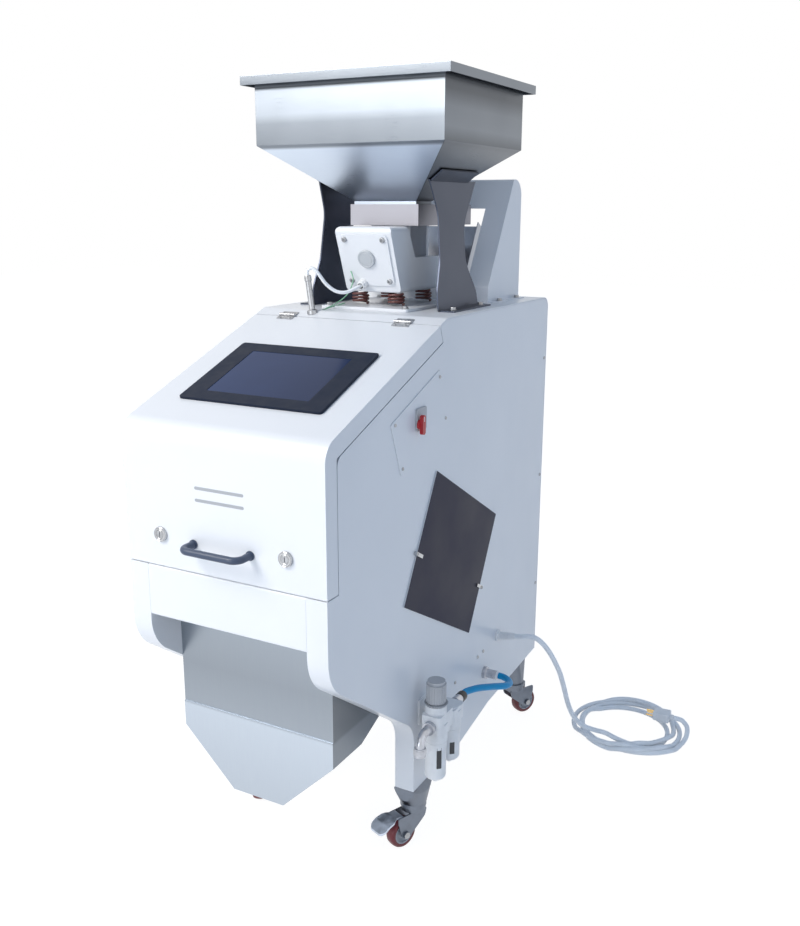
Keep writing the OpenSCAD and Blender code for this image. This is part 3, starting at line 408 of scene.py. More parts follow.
@dataclass(frozen=True)
class Pane:
    """Dark display glass with a faint lighter corner, a painted reflection."""

    name: str
    dark: Colour
    light: Colour
    span: tuple[float, float]

    def make(self) -> Material:
        """Builds the material.

        Returns:
            The finished material.
        """
        g = Graph(self.name)
        split = g.add("ShaderNodeSeparateXYZ", Vector=g.place)
        # Painted reflection: the glass turns lighter towards low X.
        across = g.between(split.outputs["X"], 1.0, 0.0, *self.span)
        cloud = g.noise(14.0, 2.0)
        share = g.maths("MULTIPLY", across, g.between(cloud, 0.7, 1.0, 0.3, 0.7))
        g.fix(Base_Color=g.blend(share, self.dark + (1.0,), self.light + (1.0,)))
        g.fix(Roughness=g.between(cloud, 0.07, 0.13), Specular_IOR_Level=0.16)
        return g.material


WHITE = (0.80, 0.81, 0.83)
# Steel grey with a blue tint that paints the sky's reflection into the colour.
STEEL = (0.40, 0.425, 0.475)
FINISHES: dict[str, Coat | Brushed | Plated | Moulded | Sheet | Pane] = {
    "white_coat": Coat("powder_white", WHITE),
    "grey_coat": Coat("powder_grey", (0.5, 0.52, 0.54)),
    # The window cover's second colour is its painted edge highlight.
    "slate_coat": Sheet("slate_cover", (0.005, 0.007, 0.03), (0.7, 0.71, 0.73)),
    "stainless": Brushed("stainless_sheet", STEEL, Grain.LEVEL, 0.3),
    # Painted light on the hopper: the blue tint paints the sky's reflection, the tones by height paint
    # bright highlight bands and darker shaded bands down the front, and the faces across X are darker as
    # painted shade.
    "hopper_sheet": Brushed("hopper_sheet", (0.77, 0.86, 1.0), Grain.LEVEL, 0.31, (1.21, 1.5),
                            ((0.0, 0.62), (0.3, 0.77), (0.565, 0.9), (0.58, 0.31), (0.73, 0.37),
                             (0.79, 0.55), (0.94, 0.57), (0.957, 0.1), (0.97, 0.3), (1.0, 0.33)),
                            ((0.0, 0.2), (0.4, 0.2), (0.565, 0.15), (0.58, 0.13), (0.68, 0.26), (0.8, 0.24),
                             (0.9, 0.12), (0.957, 0.12), (0.97, 0.26))),
    # Painted light on the outlet: the blue tint paints the sky's reflection, the upper plate's front is
    # darker as painted shade and the lower plate lighter as painted light, and the faces across X are darker
    # as painted shade.
    "outlet_sheet": Brushed("outlet_sheet", (0.78, 0.87, 1.0), Grain.UPRIGHT, 0.34, (0.18, 0.6),
                            ((0.0, 0.62), (0.39, 0.7), (0.405, 0.44), (0.6, 0.38), (1.0, 0.48)),
                            ((0.0, 0.3), (0.39, 0.28), (0.405, 0.2), (0.6, 0.19), (1.0, 0.24))),
    # Stainless brackets painted near black: a painted dark reflection of their surroundings and painted
    # shade.
    "bracket_sheet": Brushed("bracket_sheet", (0.07, 0.082, 0.115), Grain.LEVEL, 0.36),
    "trough_sheet": Brushed("trough_sheet", (0.34, 0.34, 0.38), Grain.LEVEL, 0.45),
    "zinc_steel": Plated("zinc_plate", (0.42, 0.43, 0.45), 0.32),
    "bright_chrome": Plated("chrome_plate", (0.5, 0.51, 0.53), 0.16, 60.0),
    "nickel_brass": Plated("nickel_plate", (0.5, 0.52, 0.57), 0.3, 80.0),
    "caster_steel": Plated("caster_zinc", (0.2, 0.225, 0.27), 0.4, 60.0),
    "dark_aluminium": Plated("black_anodised", (0.08, 0.08, 0.09), 0.42),
    "lamp_tube": Moulded("lamp_tube_clear", (0.8, 0.84, 0.88), 0.15, 0.00001),
    "black_plastic": Moulded("moulded_black", (0.014, 0.015, 0.017), 0.38, 0.00004),
    # The lighter colour of the display pane is a painted reflection.
    "screen_pane": Pane("display_pane", (0.006, 0.02, 0.07), (0.018, 0.042, 0.125), (-0.11, 0.13)),
    "bezel_black": Moulded("bezel_black", (0.006, 0.012, 0.03), 0.5, 0.00002, 1400.0, 0.2),
    "slate_plastic": Moulded("moulded_slate", (0.042, 0.062, 0.11), 0.36),
    "red_spring": Coat("spring_red_brown", (0.12, 0.032, 0.028), 0.4),
    "white_cord": Moulded("cord_white", (0.93, 0.94, 0.95), 0.42, 0.00002, 700.0),
    "grey_plastic": Moulded("moulded_grey", (0.5, 0.5, 0.51), 0.42),
    "red_plastic": Moulded("moulded_red", (0.52, 0.02, 0.025), 0.3),
    "white_plastic": Moulded("moulded_white", (0.86, 0.855, 0.85), 0.34),
    "blue_hose": Moulded("hose_blue", (0.001, 0.3, 0.6), 0.38, 0.00001, 300.0, 0.22),
    "red_wheel": Moulded("tread_maroon", (0.16, 0.012, 0.02), 0.35),
    "dark_steel": Plated("pedal_steel", (0.6, 0.66, 0.76), 0.46, 60.0),
    "stripe_grey": Coat("stripe_grey", (0.38, 0.39, 0.41), 0.45),
    "brass": Plated("pin_brass", (0.72, 0.52, 0.24), 0.2, 90.0),
    "earth_green": Moulded("wire_green", (0.2, 0.45, 0.27), 0.4),
    "sight_dark": Moulded("sight_dark", (0.03, 0.035, 0.04), 0.12, 0.00001),
    "wheel_hub": Moulded("hub_grey", (0.42, 0.43, 0.45), 0.4),
}


class Paint:
    """Makes each finish once and puts it on objects."""

    made: dict[str, Material] = {}

    @classmethod
    def get(cls, name: str) -> Material:
        """Gives the material of a finish, and makes it at first use.

        Args:
            name: A name in FINISHES.

        Returns:
            The material.
        """
        if name not in cls.made:
            cls.made[name] = FINISHES[name].make()
        return cls.made[name]

    @classmethod
    def put(cls, obj: Piece, name: str) -> None:
        """Gives an object one finish all over."""
        obj.data.materials.clear()
        obj.data.materials.append(cls.get(name))


class Forge:
    """Models meshes with the edit operators, as by hand."""

    @staticmethod
    def clear() -> None:
        """Leaves edit mode and deselects everything."""
        if bpy.context.mode != "OBJECT":
            bpy.ops.object.mode_set(mode="OBJECT")
        bpy.ops.object.select_all(action="DESELECT")

    @staticmethod
    def apply() -> None:
        """Moves the place, turn and scale of what is selected into its mesh."""
        bpy.ops.object.transform_apply(location=True, rotation=True, scale=True)

    @classmethod
    def take(cls, *objs: Piece) -> None:
        """Selects objects alone, the first one active.

        Args:
            objs: The objects to select.
        """
        cls.clear()
        for obj in objs:
            obj.select_set(True)
        bpy.context.view_layer.objects.active = objs[0]

    @classmethod
    def edit(cls, obj: Piece, kind: str = "FACE") -> None:
        """Opens an object in edit mode with all of it selected.

        Args:
            obj: The mesh object.
            kind: What is selected: VERT, EDGE or FACE.
        """
        cls.take(obj)
        bpy.ops.object.mode_set(mode="EDIT")
        bpy.ops.mesh.select_mode(type=kind)
        bpy.ops.mesh.select_all(action="SELECT")

    @classmethod
    def pick(cls, obj: Piece, test: Callable[[Vector, Vector], bool]) -> None:
        """Opens an object in edit mode with the faces that pass a test selected.

        Args:
            obj: The mesh object.
            test: Says yes or no from a face's centre and normal.
        """
        cls.edit(obj)
        bpy.ops.mesh.select_all(action="DESELECT")
        bpy.ops.object.mode_set(mode="OBJECT")
        for face in obj.data.polygons:
            face.select = test(face.center, face.normal)
        bpy.ops.object.mode_set(mode="EDIT")

    @classmethod
    def name(cls, name: str) -> Piece:
        """Names the object just added, and its mesh.

        Args:
            name: The piece's name.

        Returns:
            The object.
        """
        obj = bpy.context.object
        obj.name = obj.data.name = name
        return obj

    @classmethod
    def drum(cls, name: str, radius: float, depth: float, sides: int = 32) -> Piece:
        """Adds a cylinder on the origin with its foot at height zero.

        Args:
            name: The piece's name.
            radius: The radius in metres.
            depth: The height in metres.
            sides: The number of faces round it.

        Returns:
            The cylinder.
        """
        cls.clear()
        middle = (0, 0, depth / 2)
        bpy.ops.mesh.primitive_cylinder_add(vertices=sides, radius=radius, depth=depth, location=middle)
        obj = cls.name(name)
        cls.apply()
        return obj

    @classmethod
    def slab(cls, name: str, size: Point, centre: Point, round_edge: float = 0.0) -> Piece:
        """Adds a block of a size round a centre, with rounded edges.

        Args:
            name: The piece's name.
            size: The three sides in metres.
            centre: The middle in metres.
            round_edge: The width of the rounding, or 0 for sharp edges.

        Returns:
            The block.
        """
        cls.clear()
        bpy.ops.mesh.primitive_cube_add(size=1.0, location=centre, scale=tuple(size))
        obj = cls.name(name)
        cls.apply()
        if round_edge:
            cls.edit(obj, "EDGE")
            bpy.ops.mesh.bevel(offset=round_edge, segments=3, affect="EDGES")
            cls.clear()
        return obj

    @classmethod
    def trace(cls, name: str, points: Iterable[Point]) -> Piece:
        """Draws a chain of edges by extruding one vertex from point to point.

        Args:
            name: The piece's name.
            points: The corners in metres.

        Returns:
            The chain, still in edit mode.
        """
        path = [Vector(p) for p in points]
        cls.clear()
        bpy.ops.mesh.primitive_plane_add(size=0.01, location=path[0])
        obj = cls.name(name)
        cls.apply()
        cls.edit(obj, "VERT")
        bpy.ops.mesh.merge(type="CENTER")
        for here, there in zip(path, path[1:]):
            bpy.ops.mesh.extrude_region_move(TRANSFORM_OT_translate={"value": tuple(there - here)})
        return obj

    @classmethod
    def lathe(cls, name: str, profile: Iterable[tuple[float, float]], steps: int = 40,
              angle: float = 35.0) -> Piece:
        """Spins a profile about the Z axis into a closed shell.

        Args:
            name: The piece's name.
            profile: Radii and heights in millimetres.
            steps: The number of faces round it.
            angle: The greatest angle in degrees that is shaded smooth.

        Returns:
            The turned object.
        """
        obj = cls.trace(name, [(r * MM, 0, h * MM) for r, h in profile])
        bpy.ops.mesh.select_all(action="SELECT")
        bpy.ops.mesh.spin(steps=steps, angle=math.tau, center=(0, 0, 0), axis=(0, 0, 1))
        bpy.ops.mesh.select_all(action="SELECT")
        bpy.ops.mesh.remove_doubles(threshold=0.00002)
        bpy.ops.mesh.normals_make_consistent(inside=False)
        cls.smooth(obj, angle)
        return obj

    @classmethod
    def plate(cls, name: str, outline: Iterable[Point], lift: Vector,
              round_edge: float = 0.0) -> Piece:
        """Fills an outline and extrudes it into a plate.

        Args:
            name: The piece's name.
            outline: Corner points in a plane.
            lift: The way and thickness of the extrusion.
            round_edge: Width of the rounding on all sharp edges.

        Returns:
            The plate object.
        """
        obj = cls.trace(name, outline)
        bpy.ops.mesh.select_all(action="SELECT")
        bpy.ops.mesh.edge_face_add()
        bpy.ops.mesh.select_all(action="SELECT")
        bpy.ops.mesh.extrude_region_move(TRANSFORM_OT_translate={"value": tuple(lift)})
        bpy.ops.mesh.select_all(action="SELECT")
        bpy.ops.mesh.normals_make_consistent(inside=False)
        cls.clear()
        if round_edge:
            cls.soften(obj, round_edge)
        return obj

    @classmethod
    def soften(cls, obj: Piece, width: float, segments: int = 2, angle: float = 35.0) -> None:
        """Rounds an object's sharp edges with an applied bevel and shades it smooth.

        Args:
            obj: The mesh object.
            width: The width of the rounding in metres.
            segments: The number of faces across it.
            angle: The least angle in degrees that counts as sharp.
        """
        cls.take(obj)
        bevel = obj.modifiers.new("edge", "BEVEL")
        bevel.width, bevel.segments = width, segments
        bevel.limit_method, bevel.angle_limit = "ANGLE", math.radians(angle)
        bevel.harden_normals = False
        bpy.ops.object.modifier_apply(modifier="edge")
        cls.smooth(obj, angle)

    @classmethod
    def smooth(cls, obj: Piece, angle: float = 35.0) -> None:
        """Shades an object smooth up to an angle, with its large faces flat.

        Args:
            obj: The mesh object.
            angle: The greatest angle in degrees that is shaded smooth.
        """
        cls.take(obj)
        bpy.ops.object.shade_smooth_by_angle(angle=math.radians(angle))
        even = obj.modifiers.new("even", "WEIGHTED_NORMAL")
        even.keep_sharp = True
        bpy.ops.object.modifier_apply(modifier="even")

    @classmethod
    def cut(cls, obj: Piece, tool: Piece) -> None:
        """Cuts one object's shape out of another and deletes the tool.

        Args:
            obj: The object that is cut.
            tool: The shape to cut out.
        """
        cls.take(obj)
        step = obj.modifiers.new("cut", "BOOLEAN")
        step.operation, step.object, step.solver = "DIFFERENCE", tool, "EXACT"
        bpy.ops.object.modifier_apply(modifier="cut")
        bpy.data.objects.remove(tool)

    @classmethod
    def join(cls, name: str, objs: Sequence[Piece]) -> Piece:
        """Joins objects into one mesh.

        Args:
            name: The piece's name.
            objs: The objects to join.

        Returns:
            The joined object.
        """
        cls.take(*objs)
        if len(objs) > 1:
            bpy.ops.object.join()
        return cls.name(name)

    @classmethod
    def move(cls, obj: Piece, matrix: Matrix) -> Piece:
        """Puts an object's mesh at a place and leaves its object at the origin.

        Args:
            obj: The object to place.
            matrix: The placing.

        Returns:
            The same object.
        """
        obj.matrix_world = matrix
        cls.take(obj)
        cls.apply()
        return obj

    @classmethod
    def copies(cls, master: Piece, name: str, places: Iterable[Matrix]) -> Piece:
        """Copies a master to places, each with its own mesh, joins them and deletes the master.

        Args:
            master: The object to copy.
            name: The joined piece's name.
            places: The placing of each copy.

        Returns:
            The joined copies.
        """
        made = []
        for place in places:
            obj = bpy.data.objects.new(name, master.data.copy())
            bpy.context.scene.collection.objects.link(obj)
            made.append(cls.move(obj, place))
        bpy.data.objects.remove(master)
        return cls.join(name, made)


def facing(at: Point, axis: Point, spin: float = 0.0) -> Matrix:
    """Gives the placing that puts local Z along an axis at a point.

    Args:
        at: The place in metres.
        axis: The way that local Z is to point.
        spin: Turn about the axis in degrees.

    Returns:
        The placing matrix.
    """
    turn = Vector(axis).to_track_quat("Z", "Y").to_matrix().to_4x4()
    return Matrix.Translation(Vector(at)) @ turn @ Matrix.Rotation(math.radians(spin), 4, "Z")


def finish_piece(obj: Piece, body: str, finish: str,
                 stands_for: Sequence[str] = ()) -> Piece:
    """Paints a piece, lets it ride and hides the nodes that it stands for.

    Args:
        obj: The piece.
        body: The body that carries it.
        finish: The name of its finish.
        stands_for: CAD nodes that it replaces.

    Returns:
        The same piece.
    """
    Paint.put(obj, finish)
    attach(obj, body)
    if stands_for:
        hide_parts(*stands_for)
    log.info("%s on %s in %s", obj.name, body, finish)
    return obj


def bend_piece(obj: Piece, finish: str,
               stands_for: Sequence[str] = ()) -> None:
    """Paints a piece that runs between the cabinet and the feeder and bakes its placing into its mesh; it
    rides on neither body.

    Args:
        obj: The piece.
        finish: The name of its finish.
        stands_for: CAD nodes that it replaces.
    """
    Paint.put(obj, finish)
    if stands_for:
        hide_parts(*stands_for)
    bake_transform(obj)
    log.info("%s between cabinet and feeder in %s", obj.name, finish)


def frame_slot(node: str) -> str:
    """Gives the record's material slot of a CAD node."""
    return SLOTS[node]


def soft_copy(node: str, body: str, finish: str, width: float = 0.0007,
              angle: float = 35.0) -> Piece:
    """Makes a copy of a CAD node with its sharp edges rounded, and lets it stand for the node.

    Args:
        node: The CAD node's name.
        body: The body that carries it.
        finish: The finish of the copy.
        width: The width of the rounding.
        angle: The least angle of an edge that is rounded.

    Returns:
        The new piece.
    """
    obj = bpy.data.objects.new(node + "_sheet", frame["nodes"][node].data.copy())
    bpy.context.scene.collection.objects.link(obj)
    Forge.edit(obj, "VERT")
    bpy.ops.mesh.remove_doubles(threshold=0.00001)
    bpy.ops.mesh.dissolve_limited(angle_limit=math.radians(0.6))
    Forge.clear()
    if obj.data.has_custom_normals:
        Forge.take(obj)
        bpy.ops.mesh.customdata_custom_splitnormals_clear()
    Forge.soften(obj, width, 2, angle)
    return finish_piece(obj, body, finish, (node,))


class Fasteners:
    """Makes the heads of screws and bolts."""

    @staticmethod
    def head(kind: Head, size: float) -> Piece:
        """Models one head on the origin, pointing along Z.

        Args:
            kind: The shape of the head.
            size: The thread's diameter in metres.

        Returns:
            The head as one mesh.
        """
        r = size * 0.95
        if kind is Head.HEX:
            washer = Forge.drum("washer", size * 1.15, size * 0.18, 28)
            Forge.soften(washer, size * 0.05)
            head = Forge.drum("hex", r, size * 0.75, 6)
            head.location.z = size * 0.16
            Forge.take(head)
            Forge.apply()
            Forge.soften(head, size * 0.09, 2, 20)
            return Forge.join("hex_head", [head, washer])
        head = Forge.drum("head", r, size * 0.55, 28)
        Forge.pick(head, lambda c, n: n.z > 0.9)
        bpy.ops.mesh.bevel(offset=size * 0.28, segments=4, affect="EDGES")
        Forge.clear()
        if kind is Head.PAN:
            for turn in (0, 1):
                bar = Forge.slab("bit", (size * 1.05, size * 0.2, size * 0.5), (0, 0, size * 0.55))
                Forge.move(bar, Matrix.Rotation(turn * math.pi / 2, 4, "Z"))
                Forge.cut(head, bar)
        else:
            hole = Forge.drum("key", size * 0.45, size, 6)
            Forge.move(hole, Matrix.Translation((0, 0, size * 0.25)))
            Forge.cut(head, hole)
        Forge.smooth(head)
        return head

    @classmethod
    def row(cls, name: str, kind: Head, size: float, places: Iterable[Matrix], body: str) -> None:
        """Puts heads of zinc-plated steel at places as one piece on a body."""
        finish_piece(Forge.copies(cls.head(kind, size), name, places), body, "zinc_steel")


@dataclass
class Stage:
    """Camera, floor, sky and lamps."""

    eye: Point = (1.0141, -1.7225, 1.2625)
    yaw: float = 28.477
    pitch: float = 14.447
    roll: float = 0.165
    focal: float = 38.31
    sky_tint: Colour = (0.56, 0.73, 1.0)
    sky_level: float = 0.5
    floor_size: float = 30.0
    floor_z: float = -0.0005
    glow: float = 1.2
    glow_share: float = 0.78
    lamps: tuple[tuple[str, Point, Point, float, float, Colour], ...] = (
        ("key", (-1.58, -2.6, 3.1), (0, -0.1, 0.9), 1.9, 104.0, (1.0, 0.96, 0.9)),
        ("low", (-0.5, -3.0, 0.45), (0.15, -0.2, 0.2), 1.6, 22.0, (0.9, 0.95, 1.0)),
        ("fill", (3.0, -0.7, 1.5), (0.5, 0.25, 0.2), 2.0, 6.5, (0.8, 0.9, 1.0)))

    def camera(self) -> None:
        """Sets the camera at the photograph's place."""
        data = bpy.data.cameras.new("camera")
        data.sensor_fit, data.sensor_height, data.sensor_width = "VERTICAL", 36.0, 36.0
        data.lens = self.focal
        obj = bpy.data.objects.new("camera", data)
        turn = Euler((math.radians(90 - self.pitch), 0, math.radians(self.yaw))).to_matrix()
        obj.matrix_world = (Matrix.Translation(Vector(self.eye)) @ turn.to_4x4()
                            @ Matrix.Rotation(math.radians(self.roll), 4, "Z"))
        bpy.context.scene.collection.objects.link(obj)
        bpy.context.scene.camera = obj

    @staticmethod
    def seen(tree: bpy.types.NodeTree) -> Socket:
        """Gives 1 for the rays of the camera, of reflections and through glass, and 0 for the rest.

        Args:
            tree: The node tree to add to.

        Returns:
            The share's socket.
        """
        path = tree.nodes.new("ShaderNodeLightPath")
        share = path.outputs["Is Camera Ray"]
        for name in ("Is Glossy Ray", "Is Transmission Ray"):
            most = tree.nodes.new("ShaderNodeMath")
            most.operation = "MAXIMUM"
            tree.links.new(share, most.inputs[0])
            tree.links.new(path.outputs[name], most.inputs[1])
            share = most.outputs[0]
        return share

    def sky(self) -> None:
        """Makes a pale blue sky that shows as white to the camera and in reflections."""
        world = bpy.data.worlds.new("sky")
        world.use_nodes = True
        tree = world.node_tree
        tree.nodes.clear()
        light = tree.nodes.new("ShaderNodeBackground")
        light.inputs["Color"].default_value = (*self.sky_tint, 1.0)
        light.inputs["Strength"].default_value = self.sky_level
        white = tree.nodes.new("ShaderNodeBackground")
        white.inputs["Color"].default_value = (1, 1, 1, 1)
        mix = tree.nodes.new("ShaderNodeMixShader")
        out = tree.nodes.new("ShaderNodeOutputWorld")
        tree.links.new(self.seen(tree), mix.inputs[0])
        tree.links.new(light.outputs[0], mix.inputs[1])
        tree.links.new(white.outputs[0], mix.inputs[2])
        tree.links.new(mix.outputs[0], out.inputs["Surface"])
        bpy.context.scene.world = world

    def floor(self) -> None:
        """Makes a pale floor that is white to the camera but keeps the shadow."""
        Forge.clear()
        bpy.ops.mesh.primitive_plane_add(size=self.floor_size, location=(0, 0, self.floor_z))
        obj = Forge.name("floor")
        Forge.apply()
        g = Graph("floor_pale")
        g.fix(Base_Color=(0.9, 0.9, 0.9, 1.0), Roughness=0.8)
        tree = g.tree
        glow = tree.nodes.new("ShaderNodeEmission")
        glow.inputs["Color"].default_value = (1, 1, 1, 1)
        glow.inputs["Strength"].default_value = self.glow
        mix = tree.nodes.new("ShaderNodeMixShader")
        share = tree.nodes.new("ShaderNodeMath")
        share.operation = "MULTIPLY"
        share.inputs[1].default_value = self.glow_share
        tree.links.new(self.seen(tree), share.inputs[0])
        tree.links.new(share.outputs[0], mix.inputs[0])
        tree.links.new(g.shader.outputs[0], mix.inputs[1])
        tree.links.new(glow.outputs[0], mix.inputs[2])
        out = [n for n in tree.nodes if n.type == "OUTPUT_MATERIAL"][0]
        tree.links.new(mix.outputs[0], out.inputs["Surface"])
        obj.data.materials.append(g.material)

    def lamp(self, name: str, at: Point, to: Point, size: float, watts: float, colour: Colour) -> None:
        """Hangs a square soft lamp that points at a place.

        Args:
            name: The lamp's name.
            at: Its place in metres.
            to: The place that it points at.
            size: The side of the square in metres.
            watts: Its power.
            colour: Its colour.
        """
        data = bpy.data.lights.new(name, "AREA")
        data.size, data.energy, data.color = size, watts, colour
        obj = bpy.data.objects.new(name, data)
        obj.matrix_world = facing(at, Vector(at) - Vector(to))
        bpy.context.scene.collection.objects.link(obj)

    def build(self) -> None:
        """Sets up the camera, the sky, the floor and the lamps."""
        bpy.context.scene.view_settings.view_transform = "Standard"
        self.camera()
        self.sky()
        self.floor()
        for lamp in self.lamps:
            self.lamp(*lamp)


class Tube:
    """Smooth round tubes along a route: cords, hoses and wires."""

    @staticmethod
    def spline(points: Sequence[Point], count: int) -> list[Vector]:
        """Samples a smooth curve through points.

        Args:
            points: The points that the curve passes through.
            count: The number of steps between the first and the last.

        Returns:
            The sampled points.
        """
        p = [Vector(q) for q in points]
        last = len(p) - 1
        out = []
        for k in range(count + 1):
            s = last * k / count
            i = min(int(s), last - 1)
            t = s - i
            a, b, c, d = p[max(i - 1, 0)], p[i], p[i + 1], p[min(i + 2, last)]
            out.append(0.5 * (2 * b + (c - a) * t + (2 * a - 5 * b + 4 * c - d) * t * t
                              + (3 * b - a - 3 * c + d) * t ** 3))
        return out

    @staticmethod
    def even(points: Sequence[Vector], step: float) -> list[Vector]:
        """Spaces points evenly along a chain.

        Args:
            points: The chain.
            step: The spacing to aim at, in metres.

        Returns:
            The evenly spaced points.
        """
        total = Tube.length(points)
        count = max(4, round(total / step))
        marks = [total * k / count for k in range(count + 1)]
        out, walked, i = [], 0.0, 0
        for mark in marks:
            while i < len(points) - 2 and walked + (points[i + 1] - points[i]).length < mark:
                walked += (points[i + 1] - points[i]).length
                i += 1
            span = (points[i + 1] - points[i]).length or 1.0
            out.append(points[i].lerp(points[i + 1], min(1.0, (mark - walked) / span)))
        return out

    @staticmethod
    def length(points: Sequence[Vector]) -> float:
        """Adds up the lengths along a chain."""
        return sum((b - a).length for a, b in zip(points, points[1:]))

    @classmethod
    def curve(cls, name: str, points: Sequence[Vector], radius: float, sides: int = 4) -> Piece:
        """Makes a round curve object along a chain of points.

        Args:
            name: The piece's name.
            points: The middle of the tube.
            radius: The radius in metres.
            sides: The fineness of its round.

        Returns:
            The curve object.
        """
        data = bpy.data.curves.new(name, "CURVE")
        data.dimensions = "3D"
        data.bevel_depth, data.bevel_resolution, data.use_fill_caps = radius, sides, True
        line = data.splines.new("POLY")
        line.points.add(len(points) - 1)
        for spot, point in zip(line.points, points):
            spot.co = (*point, 1.0)
        line.use_smooth = True
        obj = bpy.data.objects.new(name, data)
        bpy.context.scene.collection.objects.link(obj)
        return obj

    @classmethod
    def mesh(cls, name: str, points: Sequence[Vector], radius: float, sides: int = 4) -> Piece:
        """Makes a round tube as a mesh along a chain of points.

        Args:
            name: The piece's name.
            points: The middle of the tube.
            radius: The radius in metres.
            sides: The fineness of its round.

        Returns:
            The mesh object.
        """
        Forge.take(cls.curve(name, points, radius, sides))
        bpy.ops.object.convert(target="MESH")
        return Forge.name(name)


